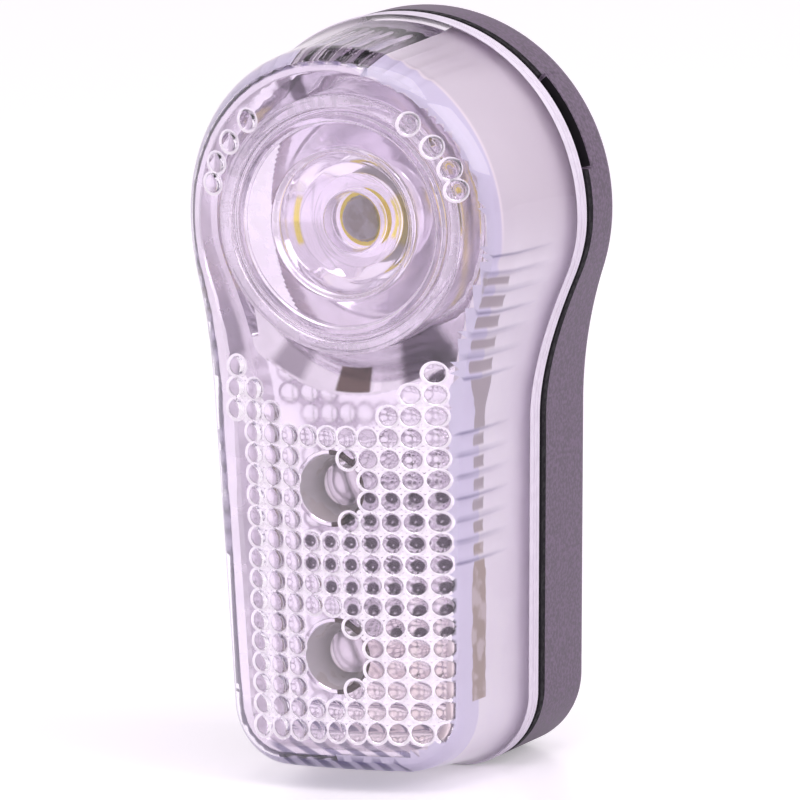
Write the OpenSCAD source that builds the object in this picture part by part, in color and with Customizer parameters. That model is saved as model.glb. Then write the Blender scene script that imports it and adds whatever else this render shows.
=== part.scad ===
// Battery bicycle headlight: keyhole-shaped clear cover on a black rear housing.
// Front (beam) is -Y, up is +Z, the base stands on z = 0.

/* [Outline] */
// Height from the base to the top of the head
body_h = 80; // [76:1:96]
// Radius of the round head at the parting line
head_r = 20.7; // [19.7:0.5:24.2]
// Width of the lower body above its bottom corners
body_w = 30.8; // [30:0.2:38]
// Radius of the hollow flank where the head runs into the body
neck_r = 47; // [30:1:70]
// Radius of the two bottom corners
corner_r = 8.5; // [7:0.5:11]
// Lean of the two sides of the lower body in degrees, so that it is wider at the top
side_lean = 2.3; // [0:0.1:3]

/* [Case] */
// Depth from the crown of the cover to the back of the housing
case_d = 31.5; // [31:0.5:38]
// Depth of the housing at the base
base_d = 12.5; // [12.5:0.5:14]
// How far the seam sweeps back from the lower body to the head
part_step = 4.5; // [3:0.1:5]
// Side wall of the housing
housing_wall = 1.8; // [1.7:0.1:2.1]
// Back wall of the housing
back_wall = 1.8; // [1.4:0.1:2.4]
// Rounding of the back edge of the housing
back_r = 2; // [1:0.25:3]
// Open seam between the cover flange and the housing
seam_gap = 0.3; // [0.2:0.05:0.5]

/* [Cover] */
// Radius of the bowed front face
crown_r = 48; // [36:1:70]
// How far the face of the head lies behind the face of the lower body
setback = 2.2; // [0:0.1:2.4]
// How far the top of the face curves back over the head
brow = 0.9; // [0:0.1:1]
// Thickness of the front wall
lens_wall = 1.5; // [1.3:0.1:1.8]
// Rounding of the front edge
lens_edge_r = 4.25; // [3:0.25:5]
// How far the side wall leans in from flange to front edge
lens_draft = 0.9; // [0.2:0.1:1]
// How far the flange stands out from the side wall
flange_out = 0.8; // [0.3:0.1:1]
// Depth of the flange
flange_d = 2; // [1.4:0.1:3]
// Thickness of the lip that enters the housing
lip_w = 0.8; // [0.7:0.1:1]
// Depth of the lip
lip_d = 1.3; // [1:0.1:1.3]
// Room between the lip and the housing wall
lip_gap = 0.25; // [0.2:0.05:0.4]

/* [Reflector and lamps] */
// Depth from the crown of the cover to the reflector plate
plate_depth = 9; // [9:0.1:9.6]
// Depth from the crown of the cover to the front of the lamp board
board_depth = 16.2; // [16:0.1:16.4]
// Thickness of the lamp board
board_t = 1.6; // [1:0.1:1.6]
// Thickness of the reflector plate and skirt
plate_t = 1; // [0.8:0.1:1.4]
// Radius of the bowl mouth in the reflector, cut short by the skirt at the sides
bowl_r = 18.4; // [17.6:0.1:18.6]
// Radius of the main optic ring
optic_r = 13.8; // [12.8:0.1:14]
// Radius of the collimator cone at its wide end
cone_r = 8.2; // [7:0.1:9]
// Height of the upper lamp
upper_lamp_z = 32.1; // [30:0.1:35]
// Height of the lower lamp
lower_lamp_z = 14.2; // [13:0.1:16]
// Diameter of the two small lamps
lamp_d = 5; // [3:0.1:5.4]
// Radius of the cup mouth round each small lamp
cup_r = 3.6; // [3.2:0.1:3.9]

/* [Cells] */
// Cell diameter
cell_d = 10.5; // [10.2:0.1:10.6]
// Cell length over the nub
cell_l = 44.5; // [43.3:0.1:44.7]
// Thickness of the rib between the cells
cell_rib = 1; // [0.8:0.1:1.4]
// Working height of a cell spring
spring_h = 3.6; // [3.2:0.1:4.2]

/* [Button] */
// Distance of the button below the top of the head
button_drop = 9; // [8.5:0.25:10]
// Radius of the button
button_r = 4.3; // [3.4:0.1:4.6]
// How far the button stands out at rest
button_out = 1.2; // [0.8:0.1:2]
// Travel of the button
button_travel = 0.5; // [0.3:0.05:0.8]

/* [Rear clip] */
// Width of the clip
clip_w = 24; // [18:0.5:26]
// Thickness of the clip tongue
clip_t = 2.4; // [1.8:0.1:3]
// Clear space between the tongue and the housing
clip_gap = 4.9; // [4.4:0.1:7]
// Length of the tongue below its bending line
clip_reach = 18; // [14:0.5:24]
// Distance of the bending line below the top of the head
clip_drop = 20; // [19.75:0.25:23]
// Height of the root block above the bending line
clip_root_h = 6; // [5.8:0.1:6.2]
// Distance between the two clip screws
clip_screw_pitch = 14; // [10:0.5:16]

/* [Hidden] */
$fn = 64;

touch = 0.05;   // room left between pieces that only rest on each other
ease = 0.3;     // room left round loose pieces
far = 200;      // longer than anything here

head_z = body_h - head_r;
half_w = body_w/2;
corner_x = half_w - corner_r;
side_out = [cos(side_lean), -sin(side_lean)];
side_up = [sin(side_lean), cos(side_lean)];
flank = [corner_x, corner_r - head_z] + (corner_r + neck_r)*side_out;
flank_up = -flank*side_up - sqrt((flank*side_up)^2 - flank*flank + (head_r + neck_r)^2);
neck = flank + flank_up*side_up;
neck_x = neck[0];
neck_z = neck[1] + head_z;
neck_a = atan2(neck[1], neck[0]);
shoulder_z = neck_z + neck_r*sin(side_lean);
middle_z = (shoulder_z + head_z)/2;

front_y = -(case_d + clip_gap + clip_t)/2;
back_y = front_y + case_d;
inner_back_y = back_y - back_wall;
plate_y = front_y + plate_depth;
board_y = front_y + board_depth;
board_back_y = board_y + board_t;

lens_in = flange_out + lens_draft + lens_wall;
lip_out = housing_wall + lip_gap;
lip_in = lip_out + lip_w;
skirt_back_in = max(lens_in, lip_in) + ease;
skirt_in = skirt_back_in + 1.2;
skirt_hollow = skirt_in + plate_t;
board_in = skirt_hollow - ease;

gasket_w = 0.6;
gasket_h = 0.9;
rebate_in = housing_wall - gasket_w - 2*touch;
rebate_d = gasket_h + touch - seam_gap + 2*touch;
pry_angles = [12, 42];
pry_depth = 0.8;
pry_width = 2;

cell_x = cell_d/2 + ease + cell_rib/2;
cell_y = inner_back_y - ease - cell_d/2;
nub_r = 1.9;
nub_h = 0.8;
contact_t = 0.4;
floor_z = housing_wall + 1.2;
link_top = floor_z + contact_t;
left_cell_z = link_top + touch;
right_cell_z = link_top + spring_h;
cells_top = right_cell_z + cell_l + touch;
rib_z = cells_top + contact_t + touch;
rib_t = 1.6;
contact_w = 7;
wire_r = 0.25;
tab_y = cell_y - contact_w/2 - contact_t;
tab_h = 5.5;
finger_w = 3;
finger_h = 5.5;
finger_z = cells_top + 1;
finger_reach = tab_y - ease;
chip_z = finger_z + finger_h + 2.4;

screw_r = 1;
screw_head_r = 1.9;
screw_head_h = 1.3;
boss_r = 2.1;
board_screw_z = [lower_lamp_z - 6, (lower_lamp_z + upper_lamp_z)/2, upper_lamp_z + 7.2];
board_screw_l = 6;

button_z = body_h - button_drop;
clip_bend_z = body_h - clip_drop;
clip_low = clip_bend_z - clip_reach;
clip_y = back_y + clip_gap;
clip_axis_y = clip_y + clip_t/2;
clip_root_z = clip_bend_z + ease;
clip_top = clip_bend_z + clip_root_h;
clip_screw_z = clip_top - screw_head_r - 0.4;
clip_screw_l = 9;
knuckle_gap = 0.1;

spreader_r = 6;
spreader_t = 1;
led_base_r = 3.5;
led_base_h = 1.2;
dome_r = 2.7;
bowl_foot_r = led_base_r + 0.7;
bowl_foot_y = board_y - spreader_t - touch - plate_t;
flange_rim = 1.8;
lamp_flange = 0.45;
lamp_h = 12;
cup_len = plate_depth - lens_wall - 0.9;

switch_w = 6;
switch_h = 3.5;
plunger_r = 1.7;
plunger_y = board_back_y + 7.5;
plunger_in = 1;
button_flange = 1.1;
button_flange_t = 1;
button_round = 0.8;
stem_r = 2;

optic_step = 0.6;
optic_web = 1;
optic_front_y = plate_y - flange_rim - optic_step;
optic_web_y = optic_front_y + optic_step + optic_web;
ring_w = 1.5;
ring_back_y = bowl_y(optic_r) - ease;
pocket_r = 3.4;
pocket_d = 2.6;
cone_tip_y = plate_y + 4.2;
cone_wall = 1.5;

// Half of the keyhole outline drawn in by d, from the middle of the base up the right side to the top
function right_side(d) = concat(
    [for (i = [0:6]) let (t = -90 + (90 - side_lean)*i/6)
        [corner_x + (corner_r - d)*cos(t), corner_r + (corner_r - d)*sin(t)]],
    [for (i = [0:9]) let (t = 180 - side_lean + (neck_a + side_lean)*i/10)
        [neck_x + (neck_r + d)*cos(t), neck_z + (neck_r + d)*sin(t)]],
    [for (i = [0:16]) let (t = neck_a + (90 - neck_a)*i/17) [(head_r - d)*cos(t), head_z + (head_r - d)*sin(t)]]);

// Whole outline, counter-clockwise seen from the front
function outline(d) = let (right = right_side(d), n = len(right)) concat(
    right,
    [[0, body_h - d]],
    [for (i = [0:n - 1]) [-right[n - 1 - i][0], right[n - 1 - i][1]]]);

// The same outline with points along the base, so that a bowed face can follow it
function full_outline(d) = concat(outline(d), [for (f = [-0.5, 0, 0.5]) [f*corner_x, d]]);

// Depth of the seam and of the bowed front face, both swept back from the lower body to the head
function sweep(z) = let (f = min(max((z - shoulder_z)/(head_z - 1.5 - shoulder_z), 0), 1)) f*f*(3 - 2*f);
function part_y(z) = back_y - base_d + part_step*sweep(z);
function crown(x, z) = front_y + crown_r - sqrt(crown_r^2 - x^2) + setback*sweep(z)
    + brow*(max(z - head_z, 0)/head_r)^2;

// Rings of points on the outline: at one depth, along the seam, along the bowed front
function flat_ring(d, y) = [for (p = full_outline(d)) [p[0], y, p[1]]];
function part_ring(d, y) = [for (p = full_outline(d)) [p[0], part_y(p[1]) + y, p[1]]];
function front_ring(d, y) = [for (p = full_outline(d)) [p[0], crown(p[0], p[1]) + y, p[1]]];
function shrunk_ring(d, y, f) = [for (p = full_outline(d)) let (z = middle_z + (p[1] - middle_z)*f)
    [p[0]*f, crown(p[0]*f, z) + y, z]];
function middle(y) = [0, y, middle_z];

// Closed skin over rings of equal count, drawn together at a point before the first and after the last ring
module skin(rings, first, last) {
    n = len(rings[0]);
    m = len(rings);
    sides = [for (i = [0:m - 2], j = [0:n - 1]) let (k = (j + 1)%n)
        each [[i*n + j, (i + 1)*n + j, (i + 1)*n + k], [i*n + j, (i + 1)*n + k, i*n + k]]];
    start = [for (j = [0:n - 1]) [m*n, j, (j + 1)%n]];
    end = [for (j = [0:n - 1]) [(m - 1)*n + j, m*n + 1, (m - 1)*n + (j + 1)%n]];
    polyhedron(concat([for (r = rings) each r], [first, last]), concat(sides, start, end));
}

// Extrude an outline in X and Z along Y
module along_y(y0, y1) {
    translate([0, y1, 0]) rotate([90, 0, 0]) linear_extrude(y1 - y0) children();
}

// Extrude an outline in Y and Z along X, centred
module along_x(w) {
    translate([-w/2, 0, 0]) rotate([90, 0, 90]) linear_extrude(w) children();
}

// Turn a profile of radius and depth round a line along Y at height z
module turned(z, x = 0) {
    translate([x, 0, z]) rotate([90, 0, 0]) rotate_extrude() children();
}

module rod_y(r, y0, y1, x = 0, z = 0) {
    translate([x, y1, z]) rotate([90, 0, 0]) cylinder(r = r, h = y1 - y0);
}

module rod_x(r, w, y, z) {
    translate([-w/2, y, z]) rotate([0, 90, 0]) cylinder(r = r, h = w);
}

// Everything behind the swept seam moved back by y
module behind_parting(y) {
    heights = [-5, each [for (i = [0:16]) shoulder_z + (head_z - shoulder_z)*i/16], body_h + 5];
    along_x(far) polygon(concat([for (z = heights) [part_y(z) + y, z]], [[far, body_h + 5], [far, -5]]));
}

module plate(d) {
    polygon(outline(d));
}

module rear_housing() {
    fillet = [for (t = [0, 30, 60, 90]) [back_r*(1 - cos(t)), back_y - back_r*(1 - sin(t))]];
    color([0.16, 0.15, 0.16]) difference() {
        union() {
            difference() {
                skin(concat([for (i = [3:-1:0]) flat_ring(fillet[i][0], fillet[i][1])], [part_ring(0, seam_gap)]),
                    middle(back_y), middle(part_y(middle_z) + seam_gap));
                along_y(-far, inner_back_y) plate(housing_wall);
                intersection() {
                    along_y(-far, inner_back_y) plate(rebate_in);
                    difference() {
                        behind_parting(0);
                        behind_parting(seam_gap + rebate_d);
                    }
                }
            }
            cell_seats();
            for (s = [-1, 1])
                rod_y(boss_r, inner_back_y - 5, inner_back_y, s*clip_screw_pitch/2, clip_screw_z);
        }
        rod_y(button_r + ease, inner_back_y - 1, back_y + 1, 0, button_z);
        for (s = [-1, 1])
            rod_y(screw_r, back_y + clip_gap - clip_screw_l, back_y + 1, s*clip_screw_pitch/2, clip_screw_z);
        pry_slot();
    }
}

// Floor pad, rib between the cells and the wall above them
module cell_seats() {
    rib_h = cell_d*0.55;
    translate([-cell_x - contact_w/2, cell_y - contact_w/2, housing_wall - 1])
        cube([2*cell_x + contact_w, inner_back_y - cell_y + contact_w/2, floor_z - housing_wall + 1]);
    translate([-cell_rib/2, inner_back_y - rib_h, floor_z + contact_t + ease])
        cube([cell_rib, rib_h, rib_z - floor_z - contact_t - ease]);
    translate([-cell_x - cell_d/2, cell_y - contact_w/2 + ease, rib_z])
        cube([2*cell_x + cell_d, inner_back_y - cell_y + contact_w/2 - ease, rib_t]);
}

// Coin slot behind the flange on the right shoulder of the head
module pry_slot() {
    intersection() {
        turned(head_z) translate([head_r - pry_depth, -far/2]) square([pry_depth + 2, far]);
        difference() {
            behind_parting(0);
            behind_parting(seam_gap + pry_width);
        }
        along_y(-far, far) translate([0, head_z]) polygon([[0, 0],
            [2*head_r*cos(pry_angles[0]), 2*head_r*sin(pry_angles[0])],
            [2*head_r*cos(pry_angles[1]), 2*head_r*sin(pry_angles[1])]]);
    }
}

module gasket() {
    color([0.05, 0.05, 0.05]) intersection() {
        along_y(-far/2, far/2) difference() {
            plate(rebate_in + touch);
            plate(rebate_in + touch + gasket_w);
        }
        difference() {
            behind_parting(touch);
            behind_parting(touch + gasket_h);
        }
    }
}

module cell(z, up) {
    r = cell_d/2;
    body = [[0, 0], [r - 0.4, 0], [r, 0.4], [r, cell_l - nub_h - 0.4], [r - 0.4, cell_l - nub_h],
        [nub_r, cell_l - nub_h], [nub_r, cell_l], [0, cell_l]];
    translate([0, cell_y, up ? z : z + cell_l]) mirror([0, 0, up ? 0 : 1]) rotate_extrude() polygon(body);
}

module battery_left() {
    color([0.12, 0.3, 0.55]) translate([-cell_x, 0, 0]) cell(left_cell_z, false);
}

module battery_right() {
    color([0.12, 0.3, 0.55]) translate([cell_x, 0, 0]) cell(right_cell_z, true);
}

// Plate under both cells that joins them in series
module link_contact() {
    color([0.85, 0.84, 0.8]) translate([-cell_x - contact_w/2, cell_y - contact_w/2, floor_z])
        cube([2*cell_x + contact_w, contact_w, contact_t]);
}

// Cone-shaped wire coil of height h, wide end at z = 0
module coil(h) {
    turns = 3;
    steps = 10;
    wide = 3.4;
    narrow = 2.2;
    points = [for (i = [0:turns*steps]) let (f = i/(turns*steps), a = 360*i/steps, r = wide + (narrow - wide)*f)
        [for (j = [0:5]) let (b = 60*j) [(r + wire_r*cos(b))*cos(a), (r + wire_r*cos(b))*sin(a),
            wire_r + (h - 2*wire_r)*f - wire_r*sin(b)]]];
    skin(points, [wide, 0, wire_r], [narrow, 0, h - wire_r]);
}

module link_spring() {
    color([0.8, 0.8, 0.8]) translate([cell_x, cell_y, link_top + touch/2]) coil(spring_h - touch);
}

module negative_spring() {
    base = left_cell_z + cell_l;
    color([0.8, 0.8, 0.8]) translate([-cell_x, cell_y, cells_top - touch/2]) mirror([0, 0, 1])
        coil(cells_top - base - touch);
}

// Contact plate over a cell, with a tab bent up in front of the wall
module terminal(x) {
    translate([x - contact_w/2, tab_y, cells_top]) cube([contact_w, contact_w, contact_t]);
    translate([x - contact_w/2, tab_y, cells_top]) cube([contact_w, contact_t, tab_h]);
}

module positive_terminal() {
    color([0.85, 0.84, 0.8]) terminal(cell_x);
}

module negative_terminal() {
    color([0.85, 0.84, 0.8]) terminal(-cell_x);
}

module clip_root() {
    round_r = 3;
    top_y = clip_y + clip_t;
    profile = concat([[back_y, clip_root_z], [top_y, clip_root_z]],
        [for (t = [0:15:90]) [top_y - round_r + round_r*cos(t), clip_top - round_r + round_r*sin(t)]],
        [[back_y, clip_top]]);
    color([0.16, 0.15, 0.16]) difference() {
        along_x(clip_w) polygon(profile);
        rod_x(clip_t/2 + knuckle_gap, clip_w + 2, clip_axis_y, clip_bend_z);
        for (s = [-1, 1]) {
            rod_y(screw_r, back_y - 1, top_y + 1, s*clip_screw_pitch/2, clip_screw_z);
            rod_y(screw_head_r + touch, clip_y, top_y + 1, s*clip_screw_pitch/2, clip_screw_z);
        }
    }
}

// Springy tongue with a lead-in chamfer and round corners at its tip
module clip_tongue() {
    tip_r = 5;
    lead = 1.2;
    side = [[clip_y, clip_bend_z], [clip_y, clip_low + 3], [clip_y + lead, clip_low], [clip_y + clip_t, clip_low],
        [clip_y + clip_t, clip_bend_z]];
    face = concat(
        [for (t = [180:15:270]) [-clip_w/2 + tip_r + tip_r*cos(t), clip_low + tip_r + tip_r*sin(t)]],
        [for (t = [270:15:360]) [clip_w/2 - tip_r + tip_r*cos(t), clip_low + tip_r + tip_r*sin(t)]],
        [[clip_w/2, clip_bend_z], [-clip_w/2, clip_bend_z]]);
    color([0.16, 0.15, 0.16]) union() {
        intersection() {
            along_x(clip_w) polygon(side);
            along_y(clip_y - 1, clip_y + clip_t + 1) polygon(face);
        }
        rod_x(clip_t/2, clip_w, clip_axis_y, clip_bend_z);
    }
}

// Pan-head screw with a cross recess, head towards +Y at depth y
module screw(x, y, z, l) {
    slot = 0.5;
    difference() {
        union() {
            rod_y(screw_r - touch/2, y - l, y + touch, x, z);
            rod_y(screw_head_r, y, y + screw_head_h, x, z);
        }
        for (a = [0, 90])
            translate([x, y + screw_head_h, z]) rotate([0, a, 0])
                cube([2.2, 1.4, slot], center = true);
    }
}

module clip_screws() {
    color([0.75, 0.75, 0.77])
        for (s = [-1, 1])
            screw(s*clip_screw_pitch/2, clip_y, clip_screw_z, clip_screw_l - touch);
}

module power_button() {
    flange_r = button_r + button_flange;
    seat_y = inner_back_y - touch;
    foot_y = plunger_y + touch;
    crown_y = back_y + button_out - button_round;
    dome = [for (i = [0:5]) let (t = 18*i)
        [button_r - button_round + button_round*cos(t), -(crown_y + button_round*sin(t))]];
    profile = concat(
        [[0, -foot_y], [stem_r, -foot_y], [stem_r, -(seat_y - button_flange_t)],
        [flange_r, -(seat_y - button_flange_t)], [flange_r, -seat_y], [button_r, -seat_y]],
        dome,
        [[0, -(back_y + button_out)]]);
    color([0.1, 0.1, 0.1]) turned(button_z) polygon(profile);
}

// Clear cover: bowed front, drafted wall, flange and lip, open at the back
module lens_cover() {
    edge_in = flange_out + lens_draft;
    inner_edge_r = max(lens_edge_r - lens_wall, 1);
    angles = [0, 30, 60, 90];
    inner = concat(
        [for (f = [0.35, 0.7]) shrunk_ring(lens_in + inner_edge_r, lens_wall, f)],
        [for (i = [3:-1:0]) let (t = angles[i])
            front_ring(lens_in + inner_edge_r*(1 - cos(t)), lens_wall + inner_edge_r*(1 - sin(t)))]);
    rim = [part_ring(lip_in, -flange_d), part_ring(lip_in, lip_d), part_ring(lip_out, lip_d), part_ring(lip_out, 0),
        part_ring(0, 0), part_ring(0, -flange_d), part_ring(flange_out, -flange_d)];
    outer = concat(
        [for (t = angles) front_ring(edge_in + lens_edge_r*(1 - cos(t)), lens_edge_r*(1 - sin(t)))],
        [for (f = [0.7, 0.35]) shrunk_ring(edge_in + lens_edge_r, 0, f)]);
    tip = crown(0, middle_z);
    color([0.86, 0.84, 0.92, 0.4]) skin(concat(inner, rim, outer), middle(tip + lens_wall), middle(tip));
}

// Clear ring and collimator cone in front of the main lamp
module main_optic() {
    face_y = optic_front_y + optic_step;
    profile = [[0, -face_y], [optic_r - ring_w, -face_y], [optic_r - ring_w + 0.4, -optic_front_y],
        [optic_r, -optic_front_y], [optic_r, -ring_back_y], [optic_r - ring_w, -ring_back_y],
        [optic_r - ring_w, -optic_web_y], [cone_r, -optic_web_y],
        [pocket_r + cone_wall, -cone_tip_y], [pocket_r, -cone_tip_y], [pocket_r, -(cone_tip_y - pocket_d)],
        [0, -(cone_tip_y - pocket_d - 0.6)]];
    color([0.9, 0.9, 0.96, 0.5]) turned(head_z) polygon(profile);
}

// Plated tray: plate with the bowl and two cups, skirt all round back to the seam, three bosses behind
module reflector_panel() {
    lamps = [lower_lamp_z, upper_lamp_z];
    hole_r = lamp_d/2 + ease;
    color([0.82, 0.82, 0.85]) difference() {
        union() {
            along_y(plate_y, plate_y + plate_t) difference() {
                plate(skirt_in);
                translate([0, head_z]) circle(r = bowl_r);
            }
            difference() {
                skirt_body(0, -ease);
                skirt_body(plate_t, 1);
            }
            for (z = lamps)
                turned(z) polygon([[hole_r, -(plate_y + plate_t)], [cup_r + 0.5, -(plate_y + plate_t)],
                    [cup_r + 0.5, -(plate_y - cup_len)], [cup_r, -(plate_y - cup_len)], [hole_r, -plate_y]]);
            intersection() {
                turned(head_z) polygon(concat(
                    [for (f = [0:0.125:1]) bowl_point(f, 0)], [for (f = [1:-0.125:0]) bowl_point(f, plate_t)]));
                along_y(plate_y, board_y) plate(skirt_in);
            }
            for (z = board_screw_z)
                rod_y(boss_r, plate_y + plate_t/2, board_y, 0, z);
        }
        for (z = lamps)
            rod_y(hole_r, plate_y - touch, plate_y + plate_t + 1, 0, z);
        for (z = board_screw_z)
            rod_y(screw_r, plate_y + plate_t + 1.5, board_y + 1, 0, z);
    }
}

// Solid inside the skirt, which widens from the plate back to the seam, drawn in by d
module skirt_body(d, behind) {
    front_at = plate_y - d*touch;
    skin([part_ring(skirt_back_in + d, behind), flat_ring(skirt_in + d, front_at)],
        middle(part_y(middle_z) + behind), middle(front_at));
}

// Depth of the bright face of the bowl at radius r, and a point that lies behind it: f runs from foot to mouth
function bowl_y(r) = bowl_foot_y + (plate_y - bowl_foot_y)*(r^2 - bowl_foot_r^2)/(bowl_r^2 - bowl_foot_r^2);
function bowl_point(f, back) = let (r = bowl_foot_r + (bowl_r - bowl_foot_r)*f) [r, -(bowl_y(r) + back)];

module led_board() {
    color([0.72, 0.6, 0.42]) difference() {
        along_y(board_y, board_back_y) plate(board_in);
        for (z = board_screw_z)
            rod_y(screw_r + touch, board_y - 1, board_back_y + 1, 0, z);
    }
}

module heat_spreader() {
    color([0.8, 0.8, 0.82]) rod_y(spreader_r, board_y - spreader_t, board_y, 0, head_z);
}

module main_led_base() {
    y = board_y - spreader_t;
    color([0.93, 0.86, 0.45]) rod_y(led_base_r, y - led_base_h, y, 0, head_z);
}

module main_led_dome() {
    y = board_y - spreader_t - led_base_h;
    color([0.95, 0.95, 0.9, 0.6]) intersection() {
        translate([0, y, head_z]) sphere(r = dome_r);
        rod_y(dome_r + 1, y - dome_r - 1, y, 0, head_z);
    }
}

// Round-headed lamp with a flange at its foot
module small_lamp(z) {
    r = lamp_d/2;
    profile = concat([[0, -board_y], [r + lamp_flange, -board_y], [r + lamp_flange, -(board_y - 1)], [r, -(board_y - 1)]],
        [for (i = [0:6]) let (t = 15*i) [r*cos(t), -(board_y - lamp_h + r) + r*sin(t)]]);
    turned(z) polygon(profile);
}

module upper_led() {
    color([0.95, 0.93, 0.85, 0.7]) small_lamp(upper_lamp_z);
}

module lower_led() {
    color([0.95, 0.93, 0.85, 0.7]) small_lamp(lower_lamp_z);
}

module board_screws() {
    color([0.75, 0.75, 0.77])
        for (z = board_screw_z)
            screw(0, board_back_y, z, board_screw_l);
}

module driver_chip() {
    color([0.08, 0.08, 0.08]) translate([cell_x, board_back_y, chip_z]) cube([4, 1.5, 5]);
}

module resistors() {
    color([0.1, 0.1, 0.12])
        for (z = [chip_z, chip_z + 3])
            translate([-cell_x - 3.2, board_back_y, z]) cube([3.2, 0.6, 1.6]);
}

// Bent strips on the back of the board that press on the cell terminals
module contact_fingers() {
    root_y = board_back_y + contact_t;
    strip = [[board_back_y, finger_z], [root_y, finger_z], [finger_reach, finger_z + finger_h*0.35],
        [finger_reach, finger_z + finger_h*0.55], [root_y, finger_z + finger_h], [board_back_y, finger_z + finger_h]];
    color([0.8, 0.6, 0.35])
        for (s = [-1, 1])
            translate([s*cell_x, 0, 0]) along_x(finger_w) polygon(strip);
}

module tact_switch() {
    color([0.1, 0.1, 0.1]) difference() {
        translate([-switch_w/2, board_back_y, button_z - switch_w/2]) cube([switch_w, switch_h, switch_w]);
        rod_y(plunger_r + touch, board_back_y + plunger_in, board_back_y + switch_h + 1, 0, button_z);
    }
}

module switch_plunger() {
    color([0.85, 0.85, 0.85]) rod_y(plunger_r, board_back_y + plunger_in + button_travel + ease, plunger_y, 0, button_z);
}

rear_housing();
gasket();
battery_left();
battery_right();
link_contact();
link_spring();
negative_spring();
positive_terminal();
negative_terminal();
clip_root();
clip_tongue();
clip_screws();
power_button();
lens_cover();
main_optic();
reflector_panel();
led_board();
heat_spreader();
main_led_base();
main_led_dome();
upper_led();
lower_led();
board_screws();
driver_chip();
resistors();
contact_fingers();
tact_switch();
switch_plunger();
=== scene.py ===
# %% [markdown]
# # A battery bicycle headlight
# The lamp is a clear keyhole-shaped cover on a black rear housing. This lesson dresses the plain
# solids: the same outline is repeated here as smooth curves, the bead pattern on the inside of the
# cover is made by a rule, and every surface gets a finish of its own. All sizes are in millimetres
# until a mesh is made, and the front of the lamp looks along -Y.

# %% Load the solids
import math
import bpy
import bmesh
import numpy as np
from mathutils import Matrix, Vector
from mathutils.geometry import delaunay_2d_cdt


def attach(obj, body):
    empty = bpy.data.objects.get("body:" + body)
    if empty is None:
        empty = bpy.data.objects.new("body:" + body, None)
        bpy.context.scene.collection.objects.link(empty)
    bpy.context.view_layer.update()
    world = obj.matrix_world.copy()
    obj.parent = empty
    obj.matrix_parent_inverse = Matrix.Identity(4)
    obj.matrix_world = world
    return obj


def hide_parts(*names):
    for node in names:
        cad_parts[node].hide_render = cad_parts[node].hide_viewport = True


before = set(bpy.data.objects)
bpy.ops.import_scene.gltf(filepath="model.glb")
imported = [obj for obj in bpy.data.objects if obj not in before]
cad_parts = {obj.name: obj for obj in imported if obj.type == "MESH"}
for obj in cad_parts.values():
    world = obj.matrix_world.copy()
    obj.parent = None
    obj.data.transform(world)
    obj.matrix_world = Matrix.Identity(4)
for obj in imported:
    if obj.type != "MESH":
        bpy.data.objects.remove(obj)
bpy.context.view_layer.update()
scene = bpy.context.scene
MM = 0.001

# %% [markdown]
# ## Camera
# The photograph was taken from the right of the beam and a little above, with a long lens, so the
# sides of the lamp hardly run together. The camera is placed by a turn, a height angle and a small
# roll round a point in the middle of the bead field, and it is aimed a little past that point so
# that the lamp lies left of the middle of the picture.

# %% Camera
TURN, RISE, ROLL = math.radians(26.72), math.radians(9.07), 0.0356
STAND_OFF, FOCAL_PX, PICTURE_PX, SENSOR_MM = 0.8538, 8159.0, 800.0, 36.0
AIM_RIGHT_PX, AIM_UP_PX = 73.3, 14.3
aim_point = Vector((0, -17.6, 40)) * MM
across = Vector((math.cos(TURN), math.sin(TURN), 0))
above = Vector((-math.sin(TURN) * math.sin(RISE), math.cos(TURN) * math.sin(RISE), math.cos(RISE)))
towards = across.cross(above)
right = across * math.cos(ROLL) - above * math.sin(ROLL)
upper = across * math.sin(ROLL) + above * math.cos(ROLL)
look = (right * AIM_RIGHT_PX + upper * AIM_UP_PX - towards * FOCAL_PX).normalized()
right = look.cross(upper).normalized()
upper = right.cross(look)
camera = bpy.data.objects.new("camera", bpy.data.cameras.new("camera"))
camera.matrix_world = Matrix((right, upper, -look)).transposed().to_4x4()
camera.location = aim_point + towards * STAND_OFF
camera.data.sensor_width = SENSOR_MM
camera.data.lens = FOCAL_PX / PICTURE_PX * SENSOR_MM
scene.collection.objects.link(camera)
scene.camera = camera
print("camera at", [round(v, 4) for v in camera.location])

# %% [markdown]
# ## Studio
# The lamp stands on a white table in soft light from above and from the right. Clear plastic and
# bright plating only show what is round them, so the surroundings matter more than the lamps do: the
# world is white with one dark patch high up behind the lamp. The light that falls from the world on
# matt surfaces is a plain middle grey.

# %% World
COLOUR_A, COLOUR_B, COLOUR_OUT = 6, 7, 2

def link(tree, source, target):
    tree.links.new(source, target)

def math_node(tree, operation, first, second=0.0, clamp=False):
    node = tree.nodes.new("ShaderNodeMath")
    node.operation = operation
    node.use_clamp = clamp
    for socket, value in zip(node.inputs, (first, second)):
        if isinstance(value, (int, float)):
            socket.default_value = value
        else:
            tree.links.new(value, socket)
    return node.outputs[0]

def ramp_node(tree, value, low, high, low_out=0.0, high_out=1.0):
    node = tree.nodes.new("ShaderNodeMapRange")
    node.interpolation_type = "SMOOTHSTEP"
    for name, number in (("From Min", low), ("From Max", high), ("To Min", low_out), ("To Max", high_out)):
        node.inputs[name].default_value = number
    tree.links.new(value, node.inputs["Value"])
    return node.outputs["Result"]

def mix_colour(tree, factor, first, second):
    node = tree.nodes.new("ShaderNodeMix")
    node.data_type = "RGBA"
    for index, value in ((0, factor), (COLOUR_A, first), (COLOUR_B, second)):
        if isinstance(value, (tuple, float)):
            node.inputs[index].default_value = value
        else:
            tree.links.new(value, node.inputs[index])
    return node.outputs[COLOUR_OUT]

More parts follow.
